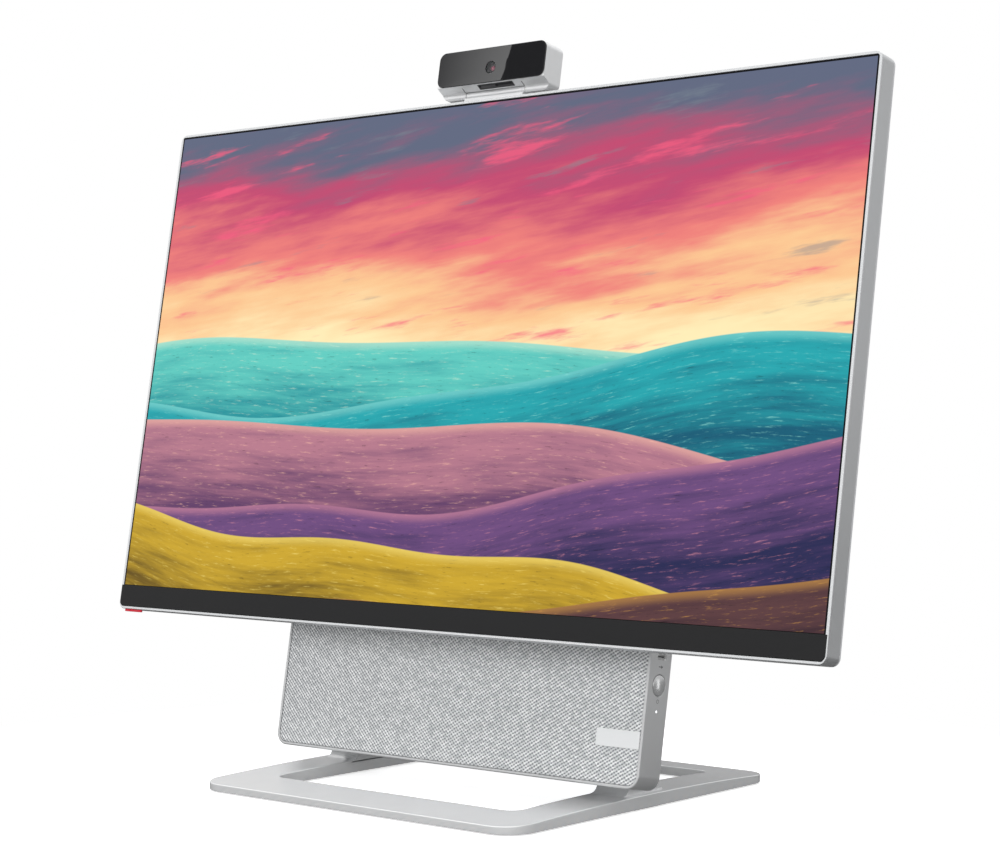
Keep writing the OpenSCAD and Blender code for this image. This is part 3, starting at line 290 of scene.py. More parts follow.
class Wires:
    """Adds nodes to one tree and joins them, so that a formula reads in order."""

    def __init__(self, tree):
        self.tree = tree

    def feed(self, socket, value):
        if isinstance(value, bpy.types.NodeSocket):
            self.tree.links.new(value, socket)
        elif value is not None:
            socket.default_value = value

    def node(self, kind, *inputs, out=0, **settings):
        made = self.tree.nodes.new(kind)
        for key, value in settings.items():
            setattr(made, key, value)
        for socket, value in zip(made.inputs, inputs):
            self.feed(socket, value)
        return made.outputs[out]

    def math(self, operation, *inputs):
        return self.node("ShaderNodeMath", *inputs, operation=operation)

    def add(self, a, b):
        return self.math("ADD", a, b)

    def times(self, a, b):
        return self.math("MULTIPLY", a, b)

    def sine(self, x, rate, phase):
        return self.math("SINE", self.math("MULTIPLY_ADD", x, rate, phase))

    def mix(self, factor, a, b):
        made = self.tree.nodes.new("ShaderNodeMix")
        made.data_type = "RGBA"
        for socket, value in zip((made.inputs[0], made.inputs[6], made.inputs[7]), (factor, a, b)):
            self.feed(socket, value)
        return made.outputs[2]

    def ease(self, x, low, high, to_low=0.0, to_high=1.0):
        return self.node(
            "ShaderNodeMapRange", x, low, high, to_low, to_high, interpolation_type="SMOOTHSTEP"
        )

    def noise(self, vector, scale, detail=2.0, roughness=0.5):
        return self.node("ShaderNodeTexNoise", vector, None, scale, detail, roughness)

    def vector(self, x, y, z=0.0):
        return self.node("ShaderNodeCombineXYZ", x, y, z)

    def split(self, vector):
        made = self.tree.nodes.new("ShaderNodeSeparateXYZ")
        self.feed(made.inputs[0], vector)
        return made.outputs[0], made.outputs[1]


def grain_group():
    """Surface grain: fine and broad noise that varies a colour and a roughness about their values."""
    tree = bpy.data.node_groups.new("surface_grain", "ShaderNodeTree")
    face = tree.interface
    face.new_socket("Colour", in_out="INPUT", socket_type="NodeSocketColor")
    for name in ("Roughness", "Scale", "Tint", "Spread"):
        face.new_socket(name, in_out="INPUT", socket_type="NodeSocketFloat")
    face.new_socket("Colour", in_out="OUTPUT", socket_type="NodeSocketColor")
    face.new_socket("Roughness", in_out="OUTPUT", socket_type="NodeSocketFloat")
    face.new_socket("Height", in_out="OUTPUT", socket_type="NodeSocketFloat")
    w = Wires(tree)
    given = tree.nodes.new("NodeGroupInput").outputs
    result = tree.nodes.new("NodeGroupOutput").inputs
    at = w.node("ShaderNodeTexCoord", out=3)
    fine = w.noise(at, given["Scale"], 3.0, 0.6)
    broad = w.noise(at, w.times(given["Scale"], 0.02), 2.0, 0.5)
    both = w.math("MULTIPLY_ADD", w.add(fine, w.times(broad, 1.4)), 1 / 1.2, -1.0)
    gain = w.math("MULTIPLY_ADD", both, given["Tint"], 1.0)
    scaled = w.tree.nodes.new("ShaderNodeVectorMath")
    scaled.operation = "SCALE"
    w.feed(scaled.inputs[0], given["Colour"])
    w.feed(scaled.inputs["Scale"], gain)
    w.feed(result["Colour"], scaled.outputs[0])
    w.feed(result["Roughness"], w.math("MULTIPLY_ADD", both, given["Spread"], given["Roughness"]))
    w.feed(result["Height"], fine)
    return tree


GRAIN = grain_group()


def shader(name):
    """An empty material with its Principled shader and wires."""
    made = bpy.data.materials.new(name)
    made.use_nodes = True
    return made, made.node_tree.nodes["Principled BSDF"], Wires(made.node_tree)


def finish(name, colour, rough, metal=0.0, scale=900.0, tint=0.05, spread=0.06, bump=0.0, **sockets):
    """A material with surface grain on its colour and roughness, and a bump of that grain in
    micrometres."""
    made, bsdf, w = shader(name)
    grain = made.node_tree.nodes.new("ShaderNodeGroup")
    grain.node_tree = GRAIN
    values = ((*colour, 1), rough, scale, tint, spread)
    for key, value in zip(("Colour", "Roughness", "Scale", "Tint", "Spread"), values):
        grain.inputs[key].default_value = value
    w.feed(bsdf.inputs["Base Color"], grain.outputs["Colour"])
    w.feed(bsdf.inputs["Roughness"], grain.outputs["Roughness"])
    bsdf.inputs["Metallic"].default_value = metal
    for key, value in sockets.items():
        bsdf.inputs[key.replace("_", " ")].default_value = value
    if bump:
        raised = made.node_tree.nodes.new("ShaderNodeBump")
        raised.inputs["Strength"].default_value = 1.0
        raised.inputs["Distance"].default_value = bump * 1e-6
        w.feed(raised.inputs["Height"], grain.outputs["Height"])
        w.feed(bsdf.inputs["Normal"], raised.outputs["Normal"])
    return made


def woven_cloth():
    """Two-tone speaker cloth: two families of slanting threads, each a sine across its rows, whose
    sum is high on a thread's crest and low in the gaps. The rising rows lead on the right, the
    falling ones on the left, and each crossing takes its own light tone."""
    made, bsdf, w = shader("woven_cloth")
    uv = w.node("ShaderNodeUVMap", uv_map="cloth_mm")
    s, t = w.split(uv)
    wander = w.times(w.add(w.noise(uv, 0.3, 2.0), -0.5), 0.5)
    rising = w.add(w.add(w.times(t, 1 / 2.44), w.times(s, -1 / 4.0)), wander)
    falling = w.add(w.add(w.times(t, 1 / 2.7), w.times(s, 1 / 2.9)), wander)
    lead = w.ease(s, -150.0, 110.0)
    crest = w.add(
        w.times(w.sine(rising, 2 * math.pi, 0.0), w.math("MULTIPLY_ADD", lead, 0.6, 0.4)),
        w.times(w.sine(falling, 2 * math.pi, 0.0), w.math("MULTIPLY_ADD", lead, -0.42, 1.0)),
    )
    crossing = w.vector(w.math("FLOOR", rising), w.math("FLOOR", falling))
    pick = w.node("ShaderNodeTexWhiteNoise", crossing, noise_dimensions="2D")
    fibre = w.noise(uv, 4.0, 3.0, 0.7)
    light = w.mix(pick, (0.50, 0.51, 0.515, 1), (0.76, 0.765, 0.765, 1))
    height = w.add(crest, w.times(w.add(fibre, -0.5), 2.4))
    tone = w.mix(w.ease(height, -1.3, 0.7), (0.18, 0.19, 0.20, 1), light)
    w.feed(bsdf.inputs["Base Color"], tone)
    bsdf.inputs["Roughness"].default_value = 0.9
    bsdf.inputs["Specular IOR Level"].default_value = 0.2
    raised = made.node_tree.nodes.new("ShaderNodeBump")
    raised.inputs["Strength"].default_value = 0.5
    raised.inputs["Distance"].default_value = 0.0002
    w.feed(raised.inputs["Height"], w.add(crest, fibre))
    w.feed(bsdf.inputs["Normal"], raised.outputs["Normal"])
    return made


def screen_tone(red, green, blue):
    """Linear colour of a screen tone given from 0 to 255."""
    shares = [c / 255 for c in (red, green, blue)]
    return tuple(c / 12.92 if c <= 0.04 else ((c + 0.055) / 1.055) ** 2.4 for c in shares) + (1,)


def screen_picture():
    """Lit screen with a plain design of flowing bands: a warm sky whose tones run up from a line of
    light and are stirred by slanting streaks, and below it bands whose upper edges are sums of two
    sines. Each band darkens from its edge down and carries ripples along that edge. A black line
    frames the picture."""
    made, bsdf, w = shader("screen_picture")
    uv = w.node("ShaderNodeUVMap", uv_map="picture")
    u, v = w.split(uv)
    drift = w.add(v, w.times(u, -0.22))
    cloud = w.noise(w.vector(w.times(u, 1.5), w.times(drift, 4.2)), 1.6, 5.0, 0.55)
    wisp = w.noise(w.vector(w.times(u, 3.2), w.times(drift, 17.0)), 1.2, 6.0, 0.62)
    climb = w.times(w.add(v, -0.46), 1 / 0.54)
    climb = w.add(climb, w.add(w.times(w.add(cloud, -0.5), 0.95), w.times(w.add(wisp, -0.5), 0.3)))
    picture = w.mix(w.ease(climb, 0.02, 0.28), screen_tone(255, 238, 184), screen_tone(252, 200, 146))
    picture = w.mix(w.ease(climb, 0.24, 0.48), picture, screen_tone(240, 128, 122))
    picture = w.mix(w.ease(climb, 0.44, 0.70), picture, screen_tone(196, 72, 112))
    picture = w.mix(w.ease(climb, 0.66, 1.0), picture, screen_tone(96, 104, 128))
    streak = w.noise(w.vector(w.times(u, 1.9), w.times(drift, 8.0)), 2.3, 5.0, 0.6)
    picture = w.mix(w.times(w.ease(streak, 0.56, 0.68), 0.75), picture, screen_tone(246, 92, 128))
    picture = w.mix(w.times(w.ease(streak, 0.40, 0.30), 0.5), picture, screen_tone(120, 132, 144))
    bands = (
        (0.500, 0.03, 0.034, 4.6, 0.9, 0.010, 12.0, 1.0, (98, 206, 194), (18, 140, 152), (206, 240, 214)),
        (0.385, 0.10, 0.036, 5.6, 2.9, 0.010, 14.0, 2.0, (34, 168, 176), (14, 92, 118), (140, 226, 216)),
        (0.395, -0.13, 0.034, 5.0, 4.7, 0.012, 11.0, 0.3, (186, 124, 142), (98, 62, 104), (250, 190, 170)),
        (0.140, 0.16, 0.032, 6.1, 1.6, 0.010, 16.0, 3.0, (112, 76, 128), (38, 40, 82), (214, 140, 160)),
        (0.190, -0.19, 0.030, 5.7, 3.9, 0.009, 18.0, 1.7, (206, 168, 44), (86, 66, 20), (250, 226, 120)),
        (-0.080, 0.17, 0.022, 6.6, 0.2, 0.008, 15.0, 2.4, (92, 60, 62), (30, 20, 36), (206, 150, 70)),
    )
    for base, slope, swing, rate, phase, ripple, fast, late, near, far, spark in bands:
        edge = w.math("MULTIPLY_ADD", u, slope, base)
        edge = w.add(edge, w.times(w.sine(u, rate, phase), swing))
        edge = w.add(edge, w.times(w.sine(u, fast, late), ripple))
        below = w.math("SUBTRACT", edge, v)
        fold = w.noise(w.vector(w.times(u, 2.4), w.times(below, 15.0)), 2.1, 4.0, 0.6)
        swell = w.noise(w.vector(w.times(u, 17.0), w.times(below, 80.0)), 2.4, 6.0, 0.7)
        depth = w.add(w.times(w.ease(below, 0.0, 0.26), 0.75), w.times(w.add(fold, -0.42), 1.5))
        tone = w.mix(w.ease(depth, 0.0, 0.9), screen_tone(*near), screen_tone(*far))
        tone = w.mix(w.times(w.ease(swell, 0.42, 0.30), 0.5), tone, screen_tone(*(c // 3 for c in far)))
        tone = w.mix(w.times(w.ease(swell, 0.55, 0.72), 0.62), tone, screen_tone(*spark))
        tone = w.mix(w.times(w.ease(below, 0.022, 0.0), 0.5), tone, screen_tone(*spark))
        picture = w.mix(w.ease(below, -0.0012, 0.0012), picture, tone)
    inside = w.times(
        w.times(w.math("GREATER_THAN", u, 0.0), w.math("LESS_THAN", u, 1.0)),
        w.times(w.math("GREATER_THAN", v, 0.0), w.math("LESS_THAN", v, 1.0)),
    )
    w.feed(bsdf.inputs["Emission Color"], w.mix(inside, (0.0, 0.0, 0.0, 1), picture))
    bsdf.inputs["Emission Strength"].default_value = 1.0
    bsdf.inputs["Base Color"].default_value = (0.004, 0.004, 0.005, 1)
    bsdf.inputs["Roughness"].default_value = 0.35
    bsdf.inputs["Specular IOR Level"].default_value = 0.06
    return made


def rim_metal():
    """Satin aluminium whose front edge is cut. The cut makes that edge smoother, and its lighter colour is a
    painted highlight. A mask over the leaning depth, 1 on the first millimetre and 0 behind it, carries both."""
    made = finish("cut_rim_aluminium_painted_highlight", (0.62, 0.63, 0.64), 0.40, 0.9, 2500.0, 0.04, 0.08, 3.0)
    tree = made.node_tree
    bsdf, w = tree.nodes["Principled BSDF"], Wires(tree)
    at = w.node("ShaderNodeTexCoord", out=3)
    depth = tree.nodes.new("ShaderNodeVectorMath")
    depth.operation = "DOT_PRODUCT"
    w.feed(depth.inputs[0], at)
    depth.inputs[1].default_value = (0, math.cos(LEAN), -math.sin(LEAN))
    start = (LEAN_Y * math.cos(LEAN) - LEAN_Z * math.sin(LEAN)) / 1000
    # cut: mask of the front millimetre, which gets a lighter colour (a painted highlight) and a smoother cut
    # finish
    cut = w.ease(depth.outputs["Value"], start + 0.0011, start + 0.0006)
    plain = {key: bsdf.inputs[key].links[0].from_socket for key in ("Base Color", "Roughness")}
    w.feed(bsdf.inputs["Base Color"], w.mix(cut, plain["Base Color"], (0.72, 0.73, 0.74, 1)))
    w.feed(bsdf.inputs["Roughness"], w.math("MULTIPLY_ADD", cut, -0.14, plain["Roughness"]))
    return made


SATIN = finish("satin_aluminium", (0.63, 0.635, 0.64), 0.42, 0.75, 2500.0, 0.04, 0.08, 3.0)
FOOT = finish("foot_aluminium", (0.79, 0.795, 0.80), 0.22, 0.5, 2500.0, 0.03, 0.03, 1.0)
RIM_METAL = rim_metal()
BUTTON = finish("button_aluminium", (0.74, 0.745, 0.75), 0.2, 0.8, 2500.0, 0.03, 0.05, 1.0)
COVER = finish("silver_paint", (0.56, 0.57, 0.58), 0.46, 0.45, 2200.0, 0.05, 0.08, 4.0)
CAMERA_SILVER = finish("camera_paint", (0.77, 0.775, 0.78), 0.34, 0.65, 2200.0, 0.03, 0.06, 2.0)
BADGE = finish("bare_badge_metal", (0.70, 0.71, 0.715), 0.42, 0.3, 1800.0, 0.03, 0.06, 1.0)
CHIN = finish("chin_plastic", (0.013, 0.013, 0.0135), 0.42, 0.0, 1600.0, 0.08, 0.1, 4.0,
              Specular_IOR_Level=0.14)
BLACK = finish("black_plastic", (0.03, 0.03, 0.032), 0.55, 0.0, 1500.0, 0.15, 0.12, 8.0)
GLOSS = finish("camera_front_gloss", (0.012, 0.012, 0.013), 0.008, 0.0, 60.0, 0.1, 0.004, 0.0)
STEEL = finish("plain_steel", (0.50, 0.51, 0.53), 0.36, 1.0, 700.0, 0.08, 0.12, 2.0)
SHEET = finish("plain_sheet", (0.58, 0.59, 0.60), 0.42, 1.0, 500.0, 0.08, 0.12, 2.0)
BOARD = finish("circuit_board_green", (0.02, 0.13, 0.07), 0.42, 0.0, 260.0, 0.25, 0.15, 6.0)
GOLD = finish("plated_contacts", (0.80, 0.58, 0.22), 0.3, 1.0, 900.0, 0.06, 0.08, 0.0)
NATURAL = finish("natural_washer", (0.72, 0.71, 0.66), 0.5, 0.0, 900.0, 0.05, 0.08, 3.0)
RUBBER = finish("pad_rubber_black", (0.022, 0.022, 0.022), 0.8, 0.0, 1300.0, 0.2, 0.1, 15.0)
RED = finish("tag_red", (0.55, 0.012, 0.03), 0.5, 0.0, 1500.0, 0.08, 0.08, 6.0)
MARK = finish("printed_mark", (0.13, 0.13, 0.135), 0.6, 0.0, 900.0, 0.05, 0.05, 0.0)
NICKEL = finish("port_nickel", (0.82, 0.82, 0.81), 0.3, 0.5, 1400.0, 0.05, 0.08, 0.0)
SOCKET = finish("socket_black", (0.02, 0.02, 0.022), 0.4, 0.0, 1200.0, 0.1, 0.1, 0.0)
LENS = finish("lens_barrel", (0.03, 0.028, 0.03), 0.3, 0.0, 900.0, 0.1, 0.08, 0.0)
LENS_EYE = finish("lens_coating", (0.62, 0.16, 0.24), 0.2, 0.0, 300.0, 0.2, 0.03, 0.0, Coat_Weight=1.0)
CLEAR = finish("clear_window", (0.03, 0.03, 0.034), 0.05, 0.0, 200.0, 0.05, 0.02, 0.0, Alpha=0.25)
LAMP = finish("status_lamp", (0.9, 0.92, 0.95), 0.3, 0.0, 900.0, 0.02, 0.05, 0.0,
              Emission_Color=(0.95, 0.98, 1, 1), Emission_Strength=0.9)
CLOTH = woven_cloth()
PICTURE = screen_picture()


# Screen

rim = Skin()
rim_profile = [
    (-RIM, 9.0), (-RIM, 0.25), (-1.9, 0.06), (-1.75, 0.0), (-0.4, 0.0), (-0.12, 0.12), (0.0, 0.4),
    (0.0, 13.85), (-0.13, 14.17), (-0.45, FRAME_BACK), (-RIM, FRAME_BACK),
]
rings = rim_rings(SCREEN_W, SCREEN_H, SCREEN_R, rim_profile, cz=SCREEN_Z, turn=1.9, corner=12)
rim.grid(place(rings), close_u=True, close_v=True)
piece("screen_rim", rim, RIM_METAL, "display", "silver_metal", "display_frame", sharp=20)

GLASS_W = SCREEN_W - 2 * RIM - 0.3
GLASS_LOW = SCREEN_Z - SCREEN_H / 2 + RIM + CHIN_H + 0.15
GLASS_HIGH = SCREEN_Z + SCREEN_H / 2 - RIM - 0.15
glass_profile = bevelled(GLASS_FRONT, GLASS_BACK, 0.15)
rings = rim_rings(GLASS_W, GLASS_HIGH - GLASS_LOW, 1.2, glass_profile, cz=(GLASS_LOW + GLASS_HIGH) / 2)
glass = Skin().slab(place(rings))
screen = piece("screen_glass", glass, PICTURE, "display", "screen_glass", "display_glass")
LINE, LOW_LINE = 1.1, 0.3
half = GLASS_W / 2 - LINE
lay_flat(screen, "picture", (-half, GLASS_LOW + LOW_LINE), (half, GLASS_HIGH - LINE))

chin_low = SCREEN_Z - SCREEN_H / 2 + RIM + 0.15
chin_high = chin_low + CHIN_H - 0.15


def chin_rings(profile, corner=8):
    """Rings of the strip below the picture, grown and set back by the profile: the lower half of a
    rounded rectangle twice as tall, so its lower corners are round and its upper ones square."""
    rows = []
    for grow, depth in profile:
        w, high = GLASS_W + 2 * (CHIN_LAP + grow), chin_high + grow
        loop = round_loop(w, 2 * (high - chin_low + grow), CHIN_R + grow, 0.0, high, corner=corner)
        flat = np.concatenate([loop[:corner + 1], [(w / 2, high), (-w / 2, high)], loop[-corner - 1:]])
        rows.append(np.stack([flat[:, 0], np.full(len(flat), depth), flat[:, 1]], -1))
    return np.stack(rows)


chin = Skin().slab(place(chin_rings(bevelled(CHIN_FRONT, 0.0, 0.2))))
chin_profile = bevelled(0.0, GLASS_BACK, 0.05)
rings = rim_rings(GLASS_W - 2 * CHIN_R, CHIN_H - 0.15, 0.3, chin_profile, cz=(chin_low + chin_high) / 2)
chin.slab(place(rings))
piece("screen_chin", chin, CHIN, "display", "chin_plastic", "chin_strip")


def holed_face(outer, depth, cx, cz, r, straight=0.0):
    """Flat face between a convex loop and a hole: each point of the loop joins the hole's point in
    the same direction from the hole's middle. The hole is a circle of radius r, or an oval with a
    straight length between two half circles."""
    away = outer - np.array([cx, cz])
    a = np.arctan2(away[:, 1], away[:, 0])
    c, s = np.abs(np.cos(a)), np.abs(np.sin(a))
    half = straight / 2
    end = half * c + np.sqrt(np.maximum(r ** 2 - (half * s) ** 2, 0))
    side = r / np.maximum(s, 1e-9)
    reach = np.where(side * c < half, side, end)
    inner = np.stack([cx + reach * np.cos(a), cz + reach * np.sin(a)], -1)
    both = np.stack([outer, inner])
    return np.concatenate([both[..., :1], np.full((*both.shape[:2], 1), depth), both[..., 1:]], -1)


def pierced(rings, cx, cz, r):
    """Slab with a round hole right through: its side, a holed face at each end, and the hole's wall
    between them."""
    made = Skin().grid(place(rings), close_v=True)
    ends = (rings[0], rings[-1])
    for ring in ends:
        made.grid(place(holed_face(ring[:, [0, 2]], ring[0, 1], cx, cz, r)), close_v=True)
    wall = [holed_face(rings[0][:, [0, 2]], ring[0, 1], cx, cz, r)[1] for ring in ends]
    return made.grid(place(np.stack(wall)), close_v=True)


cover_profile = bevelled(FRAME_BACK, COVER_BACK, 1.2, 5)
rings = rim_rings(SCREEN_W - 0.3, SCREEN_H - 0.3, SCREEN_R - 0.15, cover_profile,
                  cz=SCREEN_Z, corner=12, edge=40)
cover = pierced(rings, PIVOT_X, PIVOT_Z, HUB_HOLE)
piece("screen_back_cover", cover, COVER, "display", "silver_cover", "display_rear_cover")

TAG_X0, TAG_X1, TAG_Y0, TAG_Y1, TAG_DROP = -301.2, -283.2, 1.2, 2.8, 1.8
tag_low, tag_high = SCREEN_Z - SCREEN_H / 2 - TAG_DROP, SCREEN_Z - SCREEN_H / 2
rings = rim_rings(TAG_X1 - TAG_X0, TAG_DROP, 0.7, bevelled(TAG_Y0, TAG_Y1, 0.25),
                  cx=(TAG_X0 + TAG_X1) / 2, cz=(tag_low + tag_high) / 2)
piece("red_corner_tag", Skin().slab(place(rings)), RED, "display", "tag_red", "red_tag")

# Base

shell = Skin()
lip = [
    (-BASE_WALL, 0.3), (-1.88, 0.1), (-1.65, 0.0), (-0.75, 0.0), (-0.35, 0.11), (-0.1, 0.35), (0.0, 0.7),
]
heel = [(0.0, 0.7), (-0.1, 0.35), (-0.35, 0.11), (-0.7, 0.0)]
shell_profile = [(-BASE_WALL, SLAB_BACK - BASE_WALL)] + [(grow, SLAB_FRONT + deep) for grow, deep in lip]
shell_profile = np.array(shell_profile + [(grow, SLAB_BACK - deep) for grow, deep in heel])
CORNER = 10
shell_rings = rim_rings(BASE_W, BASE_H, BASE_R, shell_profile, cz=BASE_H / 2, corner=CORNER)
SIDE_ROW = len(lip)
shell.grid(place(shell_rings), close_v=True, leave=[(SIDE_ROW, CORNER)])
shell.cap(place(shell_rings[0])).cap(place(shell_rings[-1]))
side_y = shell_profile[SIDE_ROW:SIDE_ROW + 2, 1]
stops = [BASE_R, 44.0, 55.2, 77.0, 91.0, 110.0, BASE_H - BASE_R]
wall_x = BASE_W / 2
side_holes = [
    None,
    (LIGHT_Z, LIGHT_R + 0.05, 0.15, 0.0),
    (BUTTON_Z, BUTTON_R + 0.3, 0.35, 0.0),
    (PORT_Z, PORT_H / 2 + PORT_WALL + 0.05, 0.45, PORT_W - PORT_H),
    (SOCKET_Z, SOCKET_R + 0.05, 0.5, 0.0),
    None,
]
for k, hole in enumerate(side_holes):
    z0, z1 = stops[k], stops[k + 1]
    if hole is None:
        flat = np.array([[(wall_x, y, z) for z in (z0, z1)] for y in side_y])
        shell.grid(place(flat))
        continue
    hole_z, hole_r, cut, straight = hole
    frame_loop = round_loop(side_y[1] - side_y[0], z1 - z0, 0.02, side_y.mean(), (z0 + z1) / 2,
                            corner=1, edge=16)
    face = holed_face(frame_loop, wall_x, CONTROL_Y, hole_z, hole_r + cut, straight)[..., [1, 0, 2]]
    bore = holed_face(frame_loop, wall_x - cut, CONTROL_Y, hole_z, hole_r, straight)[1][..., [1, 0, 2]]
    wall = np.stack([bore, bore - np.array([BASE_WALL - cut, 0, 0])])
    shell.grid(place(np.concatenate([face, wall])), close_v=True)
piece("base_slab", shell, SATIN, "base", "silver_metal", "base_shell")


def cloth_sheet():
    """Stretched cloth: a grid over x and z whose lower corners are quarter circles, and whose edges
    roll back a little over their last 1.6 millimetres."""
    half, low, corner, roll = 157.3, 2.2, 6.8, 1.6
    bend = (1 - np.cos(np.linspace(0, math.pi / 2, 9)))[:-1]
    z = np.concatenate([low + corner * bend, np.linspace(low + corner, CLOTH_TOP, 48)])
    drop = np.clip(1 - (z - low) / corner, 0, 1)
    reach = half - corner * (1 - np.sqrt(1 - drop ** 2))
    share = np.sin(np.linspace(-math.pi / 2, math.pi / 2, 97))
    x = share[None, :] * reach[:, None]
    zz = np.repeat(z[:, None], len(share), 1)
    edge = np.minimum.reduce([reach[:, None] - np.abs(x), zz - low, CLOTH_TOP - zz])
    y = CLOTH_FRONT + 0.45 * (1 - np.sqrt(1 - np.clip(1 - edge / roll, 0, 1) ** 2))
    return np.stack([x, y, zz], -1)


cloth_skin = Skin().grid(place(cloth_sheet()))
cloth = piece("speaker_cloth", cloth_skin, CLOTH, "base", "speaker_cloth", "grille_cloth",
              outward=False, weighted=False, sharp=80)
lay_flat(cloth, "cloth_mm", (0.0, 0.0), (1.0, 1.0))

BADGE_W, BADGE_H, BADGE_X, BADGE_Z, BADGE_THICK = 34.0, 11.0, 140.35, 30.5, 0.6
badge_profile = bevelled(CLOTH_FRONT - BADGE_THICK, CLOTH_FRONT, 0.22)
rings = rim_rings(BADGE_W, BADGE_H, 0.8, badge_profile, cx=BADGE_X, cz=BADGE_Z)
piece("bare_badge", Skin().slab(place(rings)), BADGE, "base", "badge_metal", "badge_plate")

button = Skin()
dome = np.linspace(0.05, 5.9, 16)
button_profile = [(160.1 - r ** 2 / 80, r) for r in dome]
button_profile += [
    (159.6, 6.2), (159.45, 6.42), (159.2, BUTTON_R), (156.0, BUTTON_R), (156.0, 2.0), (152.0, 2.0),
]
button.slab(place(lathe_x(button_profile, CONTROL_Y, BUTTON_Z)))
piece("power_button_cap", button, BUTTON, "power_button", "silver_metal", "power_button")

socket = Skin()
socket_profile = [
    (145.0, 1.8), (158.9, 1.8), (159.25, 2.1), (159.4, 2.4), (159.4, 3.25), (159.25, 3.45),
    (158.9, SOCKET_R), (154.5, SOCKET_R), (154.5, 4.6), (143.2, 4.6),
]
socket.slab(place(lathe_x(socket_profile, CONTROL_Y, SOCKET_Z)))
piece("headphone_jack", socket, SOCKET, "base", "black_plastic", "headphone_socket")


def oval_rings(profile, steps=20):
    """Oval rings about the port's middle: two half circles joined by straight lines, at the x that
    each profile point's first number gives and grown by its second number."""
    half = (PORT_W - PORT_H) / 2
    a = np.linspace(-math.pi / 2, math.pi / 2, steps + 1)
    rows = []
    for x, grow in profile:
        r = PORT_H / 2 + grow
        end = np.stack([half + r * np.cos(a), r * np.sin(a)], -1)
        loop = np.concatenate([end, -end])
        rows.append(np.column_stack([np.full(len(loop), x), CONTROL_Y + loop[:, 0], PORT_Z + loop[:, 1]]))
    return np.stack(rows)


port_profile = [
    (152.9, 0.0), (159.1, 0.0), (159.3, 0.08), (159.4, 0.2), (159.3, 0.34), (159.1, PORT_WALL),
    (143.2, PORT_WALL),
]
port = Skin().slab(place(oval_rings(port_profile)))
piece("oval_port_shell", port, NICKEL, "base", "steel", "oval_port")
tongue_loop = round_loop(6.6, 0.7, 0.15, CONTROL_Y, PORT_Z, corner=3)
tongue_rows = []
for x, draw in ((151.9, 1.0), (158.3, 1.0), (158.5, 0.98), (158.6, 0.9)):
    drawn = np.array([CONTROL_Y, PORT_Z]) + draw * (tongue_loop - np.array([CONTROL_Y, PORT_Z]))
    tongue_rows.append(np.column_stack([np.full(len(drawn), x), drawn]))
piece("oval_port_tongue", Skin().slab(place(np.stack(tongue_rows))), SOCKET, "base", "black_plastic")

lamp_profile = [(143.2, LIGHT_R), (159.3, LIGHT_R), (159.45, 0.62), (159.52, 0.35), (159.54, 0.05)]
lamp = Skin().slab(place(lathe_x(lamp_profile, CONTROL_Y, LIGHT_Z, 24)))
piece("status_lamp", lamp, LAMP, "base", "light_white", "status_light")


def arc_strip(r0, r1, a0, a1, cy, cz, x, steps=24):
    """Flat strip of a ring between two radii and two angles, on the plane at x."""
    a = np.radians(np.linspace(a0, a1, steps + 1))
    rows = [np.stack([np.full(len(a), x), cy + r * np.cos(a), cz + r * np.sin(a)], -1) for r in (r0, r1)]
    return np.stack(rows)


def printed(name, strips):
    """Printed mark: flat strips given three hundredths of a millimetre of ink."""
    ink = Skin()
    for low in strips:
        high = low + np.array([0.03, 0, 0])
        closed = np.stack([low[0], low[1], high[1], high[0]])
        ink.grid(place(closed), close_u=True)
        ink.cap(place(closed[:, 0])).cap(place(closed[:, -1]))
    piece(name, ink, MARK, "base", "black_plastic", weighted=False)


def bar_strip(y0, y1, z0, z1, x):
    """Flat bar on the plane at x."""
    return np.array([[(x, y0, z0), (x, y0, z1)], [(x, y1, z0), (x, y1, z1)]])


MARK_X = BASE_W / 2 - 0.01
power_z, data_z, headset_z = 56.0, 77.6, 94.6
printed("power_mark", [
    arc_strip(1.05, 1.35, 120, 420, CONTROL_Y, power_z, MARK_X),
    bar_strip(CONTROL_Y - 0.15, CONTROL_Y + 0.15, power_z + 0.35, power_z + 1.6, MARK_X),
])
printed("data_mark", [
    bar_strip(CONTROL_Y - 2.2, CONTROL_Y + 0.3, data_z - 0.3, data_z + 0.3, MARK_X),
    np.array([[(MARK_X, CONTROL_Y + 0.3, data_z - 1.1), (MARK_X, CONTROL_Y + 0.3, data_z + 1.1)],
              [(MARK_X, CONTROL_Y + 2.2, data_z - 0.05), (MARK_X, CONTROL_Y + 2.2, data_z + 0.05)]]),
])
printed("headset_mark", [
    arc_strip(1.15, 1.4, 0, 180, CONTROL_Y, headset_z, MARK_X),
    bar_strip(CONTROL_Y - 1.6, CONTROL_Y - 0.95, headset_z - 0.9, headset_z, MARK_X),
    bar_strip(CONTROL_Y + 0.95, CONTROL_Y + 1.6, headset_z - 0.9, headset_z, MARK_X),
])

# Foot


def foot_top(y):
    """Height of the foot's top: a shallow parabola, highest in the middle."""
    return FOOT_LOW + FOOT_EDGE + FOOT_RISE * (1 - (2 * y / FOOT_D) ** 2)


